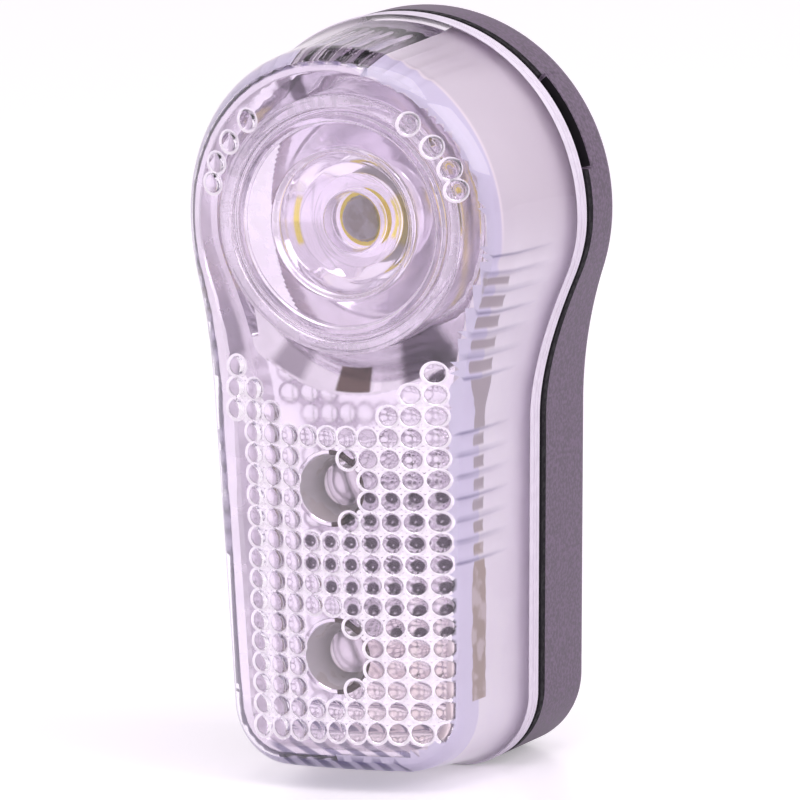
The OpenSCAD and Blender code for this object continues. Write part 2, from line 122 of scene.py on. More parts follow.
world = bpy.data.worlds.new("studio")
scene.world = world
world.use_nodes = True
tree = world.node_tree
tree.nodes.clear()
direction = tree.nodes.new("ShaderNodeTexCoord").outputs["Generated"]

def facing(x, y, z):
    node = tree.nodes.new("ShaderNodeVectorMath")
    node.operation = "DOT_PRODUCT"
    tree.links.new(direction, node.inputs[0])
    node.inputs[1].default_value = Vector((x, y, z)).normalized()
    return node.outputs["Value"]

dim = ramp_node(tree, facing(-0.10, 0.55, 0.83), 0.90, 0.96)
surround = mix_colour(tree, dim, (1.0, 0.94, 1.0, 1), (0.14, 0.12, 0.15, 1))
path = tree.nodes.new("ShaderNodeLightPath")
seen = math_node(tree, "MAXIMUM", path.outputs["Is Glossy Ray"], path.outputs["Is Transmission Ray"])
seen_or_camera = math_node(tree, "MAXIMUM", seen, path.outputs["Is Camera Ray"])
shade = mix_colour(tree, seen, (1.0, 1.0, 1.0, 1), surround)
background = tree.nodes.new("ShaderNodeBackground")
link(tree, mix_colour(tree, seen_or_camera, (0.52, 0.48, 0.54, 1), shade), background.inputs["Color"])
link(tree, background.outputs[0], tree.nodes.new("ShaderNodeOutputWorld").inputs["Surface"])
scene.view_settings.view_transform = "Standard"
scene.cycles.use_denoising = True
scene.cycles.max_bounces = 24
scene.cycles.transmission_bounces = 20
scene.cycles.glossy_bounces = 12
scene.cycles.diffuse_bounces = 8
scene.cycles.caustics_reflective = True
print("world nodes:", len(tree.nodes))

# %% [markdown]
# Two soft boxes stand to the right of the table and above it. The table itself is white, with a little
# light of its own for the viewer, so that it reads as white while the shadow of the lamp stays.

# %% Soft boxes and table
def soft_box(name, place, size, power, colour):
    data = bpy.data.lights.new(name, "AREA")
    data.shape = "RECTANGLE"
    data.size, data.size_y = size
    data.energy = power
    data.color = colour
    lamp = bpy.data.objects.new(name, data)
    lamp.location = place
    lamp.rotation_euler = (Vector((0, 0, 0.04)) - Vector(place)).to_track_quat("-Z", "Y").to_euler()
    scene.collection.objects.link(lamp)

soft_box("box_right", (0.75, -0.15, 0.55), (0.5, 0.6), 3.2, (1.0, 0.97, 1.0))
soft_box("box_above", (0.15, -0.25, 0.95), (0.7, 0.5), 3.4, (1.0, 0.98, 1.0))

table_mesh = bpy.data.meshes.new("table")
TABLE_HALF, TABLE_Z = 3, -0.0001
corners = [(x * TABLE_HALF, y * TABLE_HALF, TABLE_Z) for x, y in ((-1, -1), (1, -1), (1, 1), (-1, 1))]
table_mesh.from_pydata(corners, [], [(0, 1, 2, 3)])
table = bpy.data.objects.new("table", table_mesh)
scene.collection.objects.link(table)
table_finish = bpy.data.materials.new("white_table")
table_finish.use_nodes = True
tree = table_finish.node_tree
shader = tree.nodes["Principled BSDF"]
shader.inputs["Base Color"].default_value = (0.86, 0.83, 0.87, 1)
shader.inputs["Roughness"].default_value = 0.28
shader.inputs["Emission Color"].default_value = (1.0, 0.98, 1.0, 1)
path = tree.nodes.new("ShaderNodeLightPath")
seen = math_node(tree, "MAXIMUM", path.outputs["Is Camera Ray"], path.outputs["Is Glossy Ray"])
seen = math_node(tree, "MAXIMUM", seen, path.outputs["Is Transmission Ray"])
link(tree, math_node(tree, "MULTIPLY", seen, 0.32), shader.inputs["Emission Strength"])
table_mesh.materials.append(table_finish)
print("studio ready")

# %% [markdown]
# ## Finishes
# Each finish is one small node tree on the piece's own coordinates: a noise gives the grain, and it
# drives colour, roughness and a fine bump together, as they belong together on a moulded or plated
# surface. What is the same all over, such as the bending of light in clear plastic, is set straight
# on the shader.

# %% Finish maker
def finish(name, dark, light, rough, grain=900.0, bump=0.0, bump_mm=0.05, detail=3.0,
           low=0.35, high=0.65, **constant):
    material = bpy.data.materials.new(name)
    material.use_nodes = True
    tree = material.node_tree
    shader = tree.nodes["Principled BSDF"]
    place = tree.nodes.new("ShaderNodeTexCoord").outputs["Object"]
    noise = tree.nodes.new("ShaderNodeTexNoise")
    noise.inputs["Scale"].default_value = grain
    noise.inputs["Detail"].default_value = detail
    tree.links.new(place, noise.inputs["Vector"])
    share = ramp_node(tree, noise.outputs["Fac"], low, high)
    link(tree, mix_colour(tree, share, (*dark, 1), (*light, 1)), shader.inputs["Base Color"])
    link(tree, ramp_node(tree, noise.outputs["Fac"], low, high, *rough), shader.inputs["Roughness"])
    if bump:
        relief = tree.nodes.new("ShaderNodeBump")
        relief.inputs["Strength"].default_value = bump
        relief.inputs["Distance"].default_value = bump_mm * MM
        tree.links.new(noise.outputs["Fac"], relief.inputs["Height"])
        tree.links.new(relief.outputs["Normal"], shader.inputs["Normal"])
    for socket, value in constant.items():
        shader.inputs[socket.replace("_", " ")].default_value = value
    return material

def clear(name, dark, light, rough, ior, **more):
    return finish(name, dark, light, rough, IOR=ior, Transmission_Weight=1.0, **more)

lens_clear = clear("lens_clear", (0.955, 0.915, 0.975), (0.98, 0.945, 0.995), (0.0, 0.02), 1.49,
                   grain=120)
optic_clear = clear("optic_clear", (0.965, 0.94, 0.98), (0.985, 0.965, 0.995), (0.0, 0.01), 1.49,
                    grain=150)
lamp_clear = clear("lamp_clear", (0.95, 0.94, 0.92), (0.98, 0.97, 0.95), (0.0, 0.02), 1.53, grain=300)
bright_plating = finish("bright_plating", (0.84, 0.81, 0.85), (0.92, 0.89, 0.93), (0.07, 0.15),
                        grain=220, Metallic=1.0)
pale_flank = finish("pale_flank", (0.90, 0.84, 0.92), (0.95, 0.89, 0.97), (0.35, 0.5), grain=300)
satin_rim = finish("satin_rim", (0.92, 0.885, 0.93), (0.98, 0.95, 0.99), (0.25, 0.4),
                   grain=300, Metallic=1.0)
cup_white = finish("cup_white", (0.93, 0.88, 0.84), (1.0, 0.985, 0.98), (0.2, 0.35),
                   grain=260, low=0.38, high=0.52)
# Dark brown for the right half of the cup mouths only: painted shade.
painted_cup_edge_shade = finish("painted_cup_edge_shade", (0.055, 0.03, 0.03), (0.11, 0.07, 0.06), (0.3, 0.5), grain=900)
die_grey = finish("die_grey", (0.64, 0.56, 0.50), (0.96, 0.92, 0.92), (0.3, 0.5),
                  grain=700, low=0.42, high=0.58)
pale_wall = finish("pale_wall", (0.95, 0.91, 0.965), (0.985, 0.95, 1.0), (0.5, 0.7), grain=300)
bead_ground = finish("bead_ground", (0.97, 0.94, 0.98), (1.0, 0.975, 1.0), (0.22, 0.34),
                     grain=800, Metallic=1.0)
matt_rim = finish("matt_rim", (0.74, 0.68, 0.77), (0.80, 0.74, 0.83), (0.4, 0.6), grain=800)
housing_black = finish("housing_black", (0.07, 0.049, 0.076), (0.175, 0.127, 0.188), (0.42, 0.62),
                       grain=2600,
                       bump=0.6, bump_mm=0.06, detail=4.0)
seal_rubber = finish("seal_rubber", (0.005, 0.004, 0.006), (0.010, 0.008, 0.011), (0.5, 0.8),
                     grain=1800, bump=0.2,
                     Specular_IOR_Level=0.12)
button_rubber = finish("button_rubber", (0.02, 0.019, 0.021), (0.045, 0.042, 0.046), (0.55, 0.75),
                       grain=2000, bump=0.3)
cell_wrap = finish("cell_wrap", (0.02, 0.10, 0.26), (0.03, 0.13, 0.32), (0.2, 0.35),
                   grain=300, Coat_Weight=0.4)
contact_steel = finish("contact_steel", (0.55, 0.54, 0.52), (0.72, 0.71, 0.68), (0.2, 0.4),
                       grain=1500, Metallic=1.0)
screw_steel = finish("screw_steel", (0.50, 0.50, 0.52), (0.68, 0.68, 0.70), (0.22, 0.42),
                     grain=1800, Metallic=1.0)
board_tan = finish("board_tan", (0.46, 0.35, 0.21), (0.60, 0.48, 0.31), (0.45, 0.65),
                   grain=1400, bump=0.2)
spreader_aluminium = finish("spreader_aluminium", (0.66, 0.66, 0.68), (0.80, 0.80, 0.82), (0.25, 0.45),
                            grain=1200, Metallic=1.0)
emitter_yellow = finish("emitter_yellow", (0.86, 0.66, 0.03), (0.95, 0.78, 0.08), (0.4, 0.6),
                        grain=2500, bump=0.2,
                        Emission_Color=(0.9, 0.66, 0.02, 1), Emission_Strength=0.35)
chip_black = finish("chip_black", (0.012, 0.012, 0.013), (0.03, 0.03, 0.032), (0.45, 0.65),
                    grain=2600, bump=0.2)
finger_brass = finish("finger_brass", (0.62, 0.44, 0.18), (0.78, 0.58, 0.28), (0.2, 0.4),
                      grain=1300, Metallic=1.0)
plunger_white = finish("plunger_white", (0.72, 0.71, 0.69), (0.82, 0.81, 0.79), (0.35, 0.5),
                       grain=1500, bump=0.1)
print("finishes:", len(bpy.data.materials))

# %% [markdown]
# Some finishes get painted light and shade laid over them by place. The inner wall of the cover gets a
# painted view of the board edge, grey above and tan below, and a painted highlight line at the plate's
# front edge. The optic has painted dark refraction lines along its steps and two painted yellow
# reflections of the emitter near the lamp. The bowl has painted reflections in dark bands and one
# bright band, and the foot of the tray has slanted stripes of painted shade. The domes and the flutes
# of the cover carry painted refraction shade of their own, which is read from a note on the mesh.

# %% Extra layers
HEAD_Z, SLOT_Y, BAND_END = 59.3, -10.65, 18.3
# The colour note that carries painted refraction shade on the domes and flutes; its alpha marks the flute
# crests.
PAINTED_SHADE_NOTE = "painted_refraction_shade"
# Painted dark refraction lines on the optic: radius, half width and strength of each.
PAINTED_STEP_SHADE = ((5.1, 0.10, 0.5), (7.9, 0.12, 0.7), (10.9, 0.12, 0.7),
              (11.75, 0.13, 0.9), (12.35, 0.11, 0.8), (13.35, 0.13, 0.75))
# Painted reflections in the plated bowl: turn from, turn to and softness in degrees, nearest radius and
# colour; dark bands and one bright band.
PAINTED_BOWL_REFLECTIONS = ((-126, -108, 5, 13.8, (0.40, 0.36, 0.41, 1)), (-98, -83, 1.5, 15.6, (0.15, 0.10, 0.09, 1)),
              (-83, -79, 1.0, 15.6, (1.0, 0.97, 1.0, 1)), (-73, -50, 5, 13.8, (0.16, 0.13, 0.17, 1)),
              (55, 62, 2, 13.8, (0.3, 0.26, 0.31, 1)), (112, 120, 2, 13.8, (0.3, 0.26, 0.31, 1)))

def over(material, layer):
    """Send the colour that goes into the shader through one more layer."""
    tree = material.node_tree
    socket = tree.nodes["Principled BSDF"].inputs["Base Color"]
    below = socket.links[0].from_socket
    link(tree, layer(tree, below), socket)

def product(tree, first, *more):
    for value in more:
        first = math_node(tree, "MULTIPLY", first, value)
    return first

def band(tree, value, low, high, soft):
    return product(tree, ramp_node(tree, value, low, low + soft), ramp_node(tree, value, high, high - soft))

def own_place(tree):
    """X, Y and Z in the piece's own coordinates."""
    spot = tree.nodes.new("ShaderNodeSeparateXYZ")
    tree.links.new(tree.nodes.new("ShaderNodeTexCoord").outputs["Object"], spot.inputs[0])
    return spot.outputs["X"], spot.outputs["Y"], spot.outputs["Z"]

def own_noise(tree, scale):
    noise = tree.nodes.new("ShaderNodeTexNoise")
    noise.inputs["Scale"].default_value = scale
    tree.links.new(tree.nodes.new("ShaderNodeTexCoord").outputs["Object"], noise.inputs["Vector"])
    return noise.outputs["Fac"]

def note_on_mesh(tree):
    note = tree.nodes.new("ShaderNodeAttribute")
    note.attribute_name = PAINTED_SHADE_NOTE
    return note.outputs

# Multiply by the painted refraction shade kept as a colour note on the mesh.
def painted_shade_tint(tree, below):
    mixed = tree.nodes.new("ShaderNodeMix")
    mixed.data_type, mixed.blend_type = "RGBA", "MULTIPLY"
    mixed.inputs[0].default_value = 1.0
    tree.links.new(below, mixed.inputs[COLOUR_A])
    tree.links.new(note_on_mesh(tree)["Color"], mixed.inputs[COLOUR_B])
    return mixed.outputs[COLOUR_OUT]

# Painted light and shade on the pale inner wall: greyer towards the top, lilac ahead of the plate, a painted
# highlight line at the plate's front edge in the head, and on the flute crests a painted view of the board
# edge seen through the wall, tan below and grey above.
def painted_board_view_and_highlight(tree, below):
    x, y, z = own_place(tree)
    grain = own_noise(tree, 420.0)
    front = ramp_node(tree, y, -10.9 * MM, -10.5 * MM, 1.0, 0.0)
    seam = band(tree, y, -11.1 * MM, -10.4 * MM, 0.35 * MM)
    high = ramp_node(tree, z, 52 * MM, 62 * MM)
    below = mix_colour(tree, high, below, (0.80, 0.745, 0.795, 1))
    below = mix_colour(tree, product(tree, front, 0.8), below, (0.78, 0.74, 0.93, 1))
    below = mix_colour(tree, product(tree, seam, high), below, (1.0, 0.93, 0.96, 1))
    off = math_node(tree, "ABSOLUTE", math_node(tree, "SUBTRACT", y, SLOT_Y * MM))
    reach = math_node(tree, "ADD", ramp_node(tree, z, 22 * MM, 25 * MM, 1.55 * MM, 1.15 * MM),
                      ramp_node(tree, z, 39 * MM, 44 * MM, 0.0, 0.9 * MM))
    ragged = ramp_node(tree, grain, 0.3, 0.7, -0.14 * MM, 0.14 * MM)
    within = math_node(tree, "SUBTRACT", math_node(tree, "ADD", reach, ragged), off)
    length = band(tree, z, 9 * MM, 55 * MM, 0.2 * MM)
    side = ramp_node(tree, math_node(tree, "ABSOLUTE", x), 8.0 * MM, 8.2 * MM)
    pill = note_on_mesh(tree)["Alpha"]
    inside = product(tree, ramp_node(tree, within, 0.0, 0.2 * MM), length, side, pill)
    tan = mix_colour(tree, ramp_node(tree, grain, 0.45, 0.6), (0.44, 0.35, 0.30, 1), (0.62, 0.54, 0.53, 1))
    shade = mix_colour(tree, ramp_node(tree, z, 24 * MM, 30 * MM), tan, (0.46, 0.40, 0.43, 1))
    return painted_shade_tint(tree, mix_colour(tree, inside, below, shade))

def polar_of(tree):
    """Distance from the axis of the head in millimetres and turn round it in degrees."""
    x, _, z = own_place(tree)
    rise = math_node(tree, "SUBTRACT", z, HEAD_Z * MM)
    square = math_node(tree, "ADD", product(tree, x, x), product(tree, rise, rise))
    turn = product(tree, math_node(tree, "ARCTAN2", rise, x), 180 / math.pi)
    return math_node(tree, "DIVIDE", math_node(tree, "SQRT", square), MM), turn

# Painted dark refraction lines along the optic's steps, broken by a noise, and two painted yellow reflections
# of the emitter inside the pocket.
def painted_optic_shade_and_glints(tree, below):
    far, turn = polar_of(tree)
    broken = ramp_node(tree, own_noise(tree, 190.0), 0.38, 0.56)
    for radius, half, strength in PAINTED_STEP_SHADE:
        stroke = product(tree, band(tree, far, radius - half, radius + half, half), broken, strength)
        below = mix_colour(tree, stroke, below, (0.10, 0.08, 0.14, 1))
    deep = ramp_node(tree, own_place(tree)[1], -9.3 * MM, -9.1 * MM)
    around = math_node(tree, "ABSOLUTE", turn)
    near_arc = product(tree, band(tree, far, 2.9, 4.0, 0.2), ramp_node(tree, around, 40, 30))
    far_arc = product(tree, band(tree, far, 6.3, 7.0, 0.2), ramp_node(tree, around, 154, 160))
    painted_yellow_glint = product(tree, math_node(tree, "MAXIMUM", near_arc, far_arc), deep)
    return mix_colour(tree, painted_yellow_glint, below, (0.98, 0.80, 0.02, 1))

# Painted reflections: dark bands and one bright band round the bowl, from a given radius out to the bowl's
# edge.
def painted_bowl_reflections(tree, below):
    far, turn = polar_of(tree)
    for low, high, soft, near, shade in PAINTED_BOWL_REFLECTIONS:
        here = product(tree, band(tree, turn, low, high, soft), band(tree, far, near, BAND_END, 0.25))
        below = mix_colour(tree, here, below, shade)
    return below

# Slanted stripes of painted shade on the foot of the rim, low down and near the middle.
def painted_foot_shade_stripes(tree, below):
    x, y, z = own_place(tree)
    slant = math_node(tree, "ADD", x, product(tree, y, 0.7))
    slant = math_node(tree, "ADD", slant, product(tree, z, 1.8))
    wave = math_node(tree, "SINE", product(tree, slant, 2 * math.pi / (2.9 * MM)))
    low = ramp_node(tree, z, 5.2 * MM, 5.0 * MM)
    middle = ramp_node(tree, math_node(tree, "ABSOLUTE", x), 9.0 * MM, 7.5 * MM)
    lines = product(tree, low, middle, ramp_node(tree, wave, -0.5, 0.7))
    return mix_colour(tree, lines, below, (0.30, 0.28, 0.40, 1))

over(satin_rim, painted_foot_shade_stripes)
over(optic_clear, painted_optic_shade_and_glints)
over(bright_plating, painted_bowl_reflections)
over(pale_wall, painted_board_view_and_highlight)
over(lens_clear, painted_shade_tint)
print("layers laid")

# %% [markdown]
# ## Outline
# Everything on this lamp follows one keyhole: a round head, two hollow flanks and a body with round
# bottom corners, all arcs and lines that touch smoothly. It is kept as points with their outward
# normals, so a copy drawn in by any amount is one subtraction away.

# %% Keyhole
HEAD_R, HALF_W, NECK_R, CORNER_R = 20.7, 15.4, 47.0, 8.5
SIDE_LEAN = math.radians(2.3)
side_out = Vector((math.cos(SIDE_LEAN), -math.sin(SIDE_LEAN)))
side_up = Vector((math.sin(SIDE_LEAN), math.cos(SIDE_LEAN)))
corner = Vector((HALF_W - CORNER_R, CORNER_R))
flank = corner + (CORNER_R + NECK_R) * side_out - Vector((0, HEAD_Z))
climb = flank.dot(side_up)
neck = flank - (climb + math.sqrt(climb**2 - flank.length_squared + (HEAD_R + NECK_R)**2)) * side_up
NECK_A = math.atan2(neck.y, neck.x)
neck += Vector((0, HEAD_Z))
SHOULDER_Z = neck.y + NECK_R * math.sin(SIDE_LEAN)

def line(start, end, normal, step):
    count = max(2, round(math.dist(start, end) / step))
    return [(start[0] + (end[0] - start[0]) * i / count, start[1] + (end[1] - start[1]) * i / count, *normal)
            for i in range(count)]

def arc(centre, radius, first, last, step, outward=1):
    count = max(2, round(abs(last - first) * radius / step))
    angles = [first + (last - first) * i / count for i in range(count)]
    return [(centre[0] + radius * math.cos(t), centre[1] + radius * math.sin(t),
             outward * math.cos(t), outward * math.sin(t)) for t in angles]

def keyhole(step):
    half = (line((0, 0), (corner.x, 0), (0, -1), step)
            + arc(corner, CORNER_R, -math.pi / 2, -SIDE_LEAN, step)
            + line(corner + CORNER_R * side_out, neck - NECK_R * side_out, side_out, step)
            + arc(neck, NECK_R, math.pi - SIDE_LEAN, math.pi + NECK_A, step, -1)
            + arc((0, HEAD_Z), HEAD_R, NECK_A, math.pi / 2, step))
    mirrored = [(-x, z, -nx, nz) for x, z, nx, nz in half[:0:-1]]
    return np.array(half + [(0, HEAD_Z + HEAD_R, 0, 1)] + mirrored)

edge = keyhole(0.3)
edge_run = np.concatenate([[0], np.cumsum(np.hypot(*np.diff(edge[:, :2], axis=0).T))])

def drawn_in(inset, outline=edge):
    return outline[:, :2] - np.asarray(inset).reshape(-1, 1) * outline[:, 2:]

def inset_of(spots):
    """How far each point lies inside the keyhole."""
    result = np.empty(len(spots))
    for start in range(0, len(spots), 4000):
        part = spots[start:start + 4000]
        gap = edge[None, :, :2] - part[:, None, :]
        nearest = np.argmin((gap**2).sum(2), axis=1)
        chosen = gap[np.arange(len(part)), nearest]
        result[start:start + 4000] = (chosen * edge[nearest, 2:]).sum(1)
    return result

print("keyhole points:", len(edge), "length", round(edge_run[-1], 1), "mm")

# %% [markdown]
# ## Skins
# The shells are lofted: rings of points drawn in from the keyhole and set at some depth, joined by
# strips of faces. Flat and bowed ends are filled by a triangulated sheet, which can take extra
# points where detail is wanted and can leave holes. A piece is one closed skin of such parts.

# %% Skin maker
def circle(x, z, radius, count):
    turn = np.arange(count) * 2 * math.pi / count
    return np.column_stack([x + radius * np.cos(turn), z + radius * np.sin(turn)])

class Skin:
    def __init__(self):
        self.points, self.faces, self.count = [], [], 0

    def ring(self, flat, depth):
        depth = np.broadcast_to(np.asarray(depth, float), (len(flat),))
        self.points.append(np.column_stack([flat[:, 0], depth, flat[:, 1]]))
        ids = np.arange(self.count, self.count + len(flat))
        self.count += len(flat)
        return ids

    def bridge(self, first, second):
        a, b = first, second
        self.faces += np.column_stack([a, np.roll(a, -1), np.roll(b, -1), b]).tolist()

    def sheet(self, rim, rim_flat, inside, depth, flip=False, holes=()):
        """Fill a ring; inside are extra points, holes are (ids, flat points) of inner rings."""
        rings = [(rim, rim_flat)] + list(holes)
        known = np.concatenate([ids for ids, flat in rings])
        flat = np.concatenate([flat for ids, flat in rings] + [inside])
        edges, start = [], 0
        for ids, ring in rings:
            edges += [(start + j, start + (j + 1) % len(ring)) for j in range(len(ring))]
            start += len(ring)
        spots, _, faces, origin, _, _ = delaunay_2d_cdt([Vector(p) for p in flat], edges, [], 4, 1e-6)
        spots = np.array([tuple(p) for p in spots])
        index, fresh = np.full(len(spots), -1), []
        for i, sources in enumerate(origin):
            if sources and min(sources) < len(known):
                index[i] = known[min(sources)]
            else:
                fresh.append(i)
        new = self.ring(spots[fresh], depth(spots[fresh])) if fresh else []
        index[fresh] = new
        for face in faces:
            corners = [int(index[i]) for i in face]
            self.faces.append(corners[::-1] if flip else corners)
        return new

    def lathe(self, centre, profile, segments):
        """Turn (radius, depth) points round a line along Y; radius 0 gives a pole."""
        rings = []
        for radius, depth in profile:
            spots = circle(*centre, radius, segments) if radius else np.array([centre], float)
            rings.append(self.ring(spots, depth))
        for a, b in zip(rings, rings[1:]):
            if len(a) > 1 and len(b) > 1:
                self.bridge(a, b)
            elif len(a) > 1:
                self.faces += [[int(p), int(q), int(b[0])] for p, q in zip(a, np.roll(a, -1))]
            elif len(b) > 1:
                self.faces += [[int(a[0]), int(q), int(p)] for p, q in zip(b, np.roll(b, -1))]

    def box(self, low, high):
        x, y, z = zip(low, high)
        start = self.count
        corners = np.array([(i, j, k) for i in x for j in y for k in z], float)
        self.points.append(corners)
        self.count += 8
        self.faces += [[start + i for i in face] for face in
                       ((0, 1, 3, 2), (4, 6, 7, 5), (0, 4, 5, 1), (2, 3, 7, 6), (0, 2, 6, 4), (1, 5, 7, 3))]

    def mesh(self, name, material, sharp=35.0):
        mesh = bpy.data.meshes.new(name)
        mesh.from_pydata((np.concatenate(self.points) * MM).tolist(), [], self.faces)
        mesh.materials.append(material)
        mesh.validate()
        mesh.shade_smooth()
        mesh.set_sharp_from_angle(angle=math.radians(sharp))
        return mesh

def place(name, mesh, body, slot, *nodes):
    piece = bpy.data.objects.new(name, mesh)
    scene.collection.objects.link(piece)
    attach(piece, body)
    if nodes:
        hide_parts(*nodes)
    print(name, "faces", len(mesh.polygons))
    return piece

# %% [markdown]
# ## Clear cover
# The cover is one moulding: a bowed front, a rounded front edge, drafted sides, a flange at the seam
# and a lip that enters the housing. Its outside is smooth. All of the sparkle is on the inside,
# where rows of small domes cover the lower front and half-round flutes run along parts of the wall.

# %% Cover sizes
FRONT_Y, BACK_Y, CROWN_R, SETBACK, BROW = -19.4, 12.1, 48.0, 2.2, 0.9
BASE_D, PART_STEP = 12.5, 4.5
LENS_WALL, EDGE_R, EDGE_IN, LENS_IN = 1.5, 4.25, 1.7, 3.2
FLANGE_OUT, FLANGE_D, LIP_OUT, LIP_IN, LIP_D = 0.8, 2.0, 2.05, 2.85, 1.3
INNER_R, INNER_BOW_R = 0.8, 27.0

def sweep(flat):
    rise = np.clip((flat[:, 1] - SHOULDER_Z) / (HEAD_Z - 1.5 - SHOULDER_Z), 0, 1)
    return rise**2 * (3 - 2 * rise)

def parting(flat, behind=0.0):
    return BACK_Y - BASE_D + PART_STEP * sweep(flat) + behind

def crown(flat):
    over = np.clip((flat[:, 1] - HEAD_Z) / HEAD_R, 0, 1)
    return FRONT_Y + CROWN_R - np.sqrt(CROWN_R**2 - flat[:, 0]**2) + SETBACK * sweep(flat) + BROW * over**2

def rounded(inset, start, radius):
    """Extra depth of a front edge that begins at some inset and has this radius."""
    share = np.clip((inset - start) / radius, 0, 1)
    return radius * (1 - np.sqrt(1 - (1 - share)**2))

def outer_front(flat):
    return crown(flat) + rounded(inset_of(flat), EDGE_IN, EDGE_R)

def inner_face(flat):
    """The inside is bowed more than the outside, down to the neck."""
    bow = INNER_BOW_R - np.sqrt(INNER_BOW_R**2 - flat[:, 0]**2) - CROWN_R + np.sqrt(CROWN_R**2 - flat[:, 0]**2)
    return crown(flat) + LENS_WALL + bow * (1 - sweep(flat))

def inner_front(flat):
    return inner_face(flat) + rounded(inset_of(flat), LENS_IN, INNER_R)

# %% [markdown]
# The domes stand on a square grid of ten columns, with an eleventh on the left of the top rows. Those
# rows are cut away in steps under the head, the domes over each small lamp are left out, and four
# climb each shoulder of the main ring. The sheet gets rings of points round each dome and a coarse
# grid elsewhere.

# %% Dome places
PITCH_X, PITCH_Z, TOP_Z, MIDDLE_X = 2.225, 2.236, 44.4, 0.3
FIRST_FULL = {1: 1, 2: 2, 3: 3}
LAMP_Z, LAMP_CLEAR = (32.1, 14.2), 3.9
domes = []
for row in range(1, 19):
    for column in range(11):
        x, z = MIDDLE_X + (column - 5) * PITCH_X, TOP_Z - (row - 1) * PITCH_Z
        shown = column > 0 if row not in FIRST_FULL else min(column, 10 - column) < FIRST_FULL[row]
        if shown and min(math.hypot(x, z - lamp) for lamp in LAMP_Z) > LAMP_CLEAR:
            domes.append((x, z))
for side in (-1, 1):
    domes += [(side * 13.95, 63.5), (side * 13.35, 65.7), (side * 11.6, 68.0), (side * 9.2, 70.4)]
domes = np.array(domes)

def dome_gap(flat):
    gap = np.full(len(flat), 9.0)
    for start in range(0, len(flat), 8000):
        part = flat[start:start + 8000]
        gap[start:start + 8000] = np.sqrt(((part[:, None, :] - domes[None])**2).sum(2).min(1))
    return gap

def grid(x_low, x_high, dx, z_low, z_high, dz, x_start, z_start):
    xs = np.arange(x_start + math.ceil((x_low - x_start) / dx) * dx, x_high, dx)
    zs = np.arange(z_start + math.ceil((z_low - z_start) / dz) * dz, z_high, dz)
    return np.array([(x, z) for x in xs for z in zs])

DOME_BOW, DOME_FOOT, WINDOW_R, GROUND_R = 1.6, 1.1, 0.97, 1.3
DOME_RINGS = (0.14, 0.28, 0.41, 0.53, 0.65, 0.77, 0.88, WINDOW_R)

fine = [domes] + [circle(x, z, radius, 28) for x, z in domes for radius in DOME_RINGS]
steps = np.linspace(-0.5, 0.5, 9)
rim = np.concatenate([np.column_stack([steps, 0 * steps + side]) for side in (-0.5, 0.5)])
rim = np.concatenate([rim, rim[:, ::-1]]) * (PITCH_X, PITCH_Z)
borders = np.concatenate([rim + spot for spot in domes] + [circle(x, z, GROUND_R, 32) for x, z in domes])
borders = borders[dome_gap(borders) > DOME_FOOT]
fine = np.unique(np.round(np.concatenate(fine + [borders]), 3), axis=0)
coarse = grid(-20, 20, 0.8, 2, 80, 0.8, 0, 0)
coarse = coarse[dome_gap(coarse) >= GROUND_R + 0.25]
print("domes:", len(domes), "fine points:", len(fine))

# %% Cover skin
INNER_RIM = LENS_IN + 0.12
GROOVES = [(inset, middle + side) for middle in (-0.75, -1.45)
           for inset, side in ((0, 0.13), (0.22, 0), (0, -0.13))]
CLEAR_FROM, CLEAR_TO = 75, 104

def angle_on_head(flat):
    return np.degrees(np.arctan2(flat[:, 1] - HEAD_Z, flat[:, 0]))

head_angle = angle_on_head(edge)
on_top = (head_angle > CLEAR_FROM) & (head_angle < CLEAR_TO)
cover = Skin()
zones = []

def cover_ring(inset, depth_of, kind="plain"):
    flat = drawn_in(inset)
    ids = cover.ring(flat, depth_of(flat))
    zones.append((ids, kind))
    return ids

seam_rings = [(LIP_IN, LIP_D), (LIP_OUT, LIP_D), (LIP_OUT, 0), (1.0, 0), (0.15, 0), (0, -0.15), *GROOVES,
              (0, -FLANGE_D), (0.12, -FLANGE_D - 0.25), (FLANGE_OUT, -FLANGE_D - 2.4)]
rings = [cover_ring(inset, lambda f: parting(f, depth)) for inset, depth in seam_rings]
for angle in range(0, 61, 10):
    t = math.radians(angle)
    inset = EDGE_IN + EDGE_R * (1 - math.cos(t))
    rings.append(cover_ring(inset, lambda f: crown(f) + EDGE_R * (1 - math.sin(t))))
outside_grid = grid(-20, 20, 1.2, 2, 80, 1.2, 0, 0)
outside_grid = outside_grid[inset_of(outside_grid) > inset + 0.5]
cover.sheet(rings[-1], drawn_in(inset), outside_grid, outer_front)
for a, b in zip(rings, rings[1:]):
    cover.bridge(a, b)

inside = np.concatenate([fine, coarse])
inside = inside[inset_of(inside) > INNER_RIM + 0.12]
inner_rim = cover_ring(INNER_RIM, lambda f: inner_face(f) + rounded(INNER_RIM, LENS_IN, INNER_R))
dome_sheet = cover.sheet(inner_rim, drawn_in(INNER_RIM), inside, inner_front, flip=True)
wall = [inner_rim]
for angle in (12, 0):
    t = math.radians(angle)
    wall.append(cover_ring(LENS_IN + INNER_R * (1 - math.cos(t)),
                           lambda f: inner_face(f) + INNER_R * (1 - math.sin(t)), "flute"))
for share in (0.12, 0.3, 0.5, 0.7, 0.85):
    wall.append(cover_ring(LENS_IN + (LIP_IN - LENS_IN) * share, lambda f:
                           (inner_face(f) + INNER_R) * (1 - share) + parting(f, -FLANGE_D) * share,
                           "flute" if share < 0.8 else "plain"))
wall.append(cover_ring(LIP_IN, lambda f: parting(f, -FLANGE_D)))
for a, b in zip(wall, wall[1:] + rings[:1]):
    cover.bridge(a, b)
rim_ids = set(np.concatenate(rings[:5])[np.tile(~on_top, 5)].tolist())
flange_ids = set(np.concatenate(rings[4:8 + len(GROOVES)]).tolist())
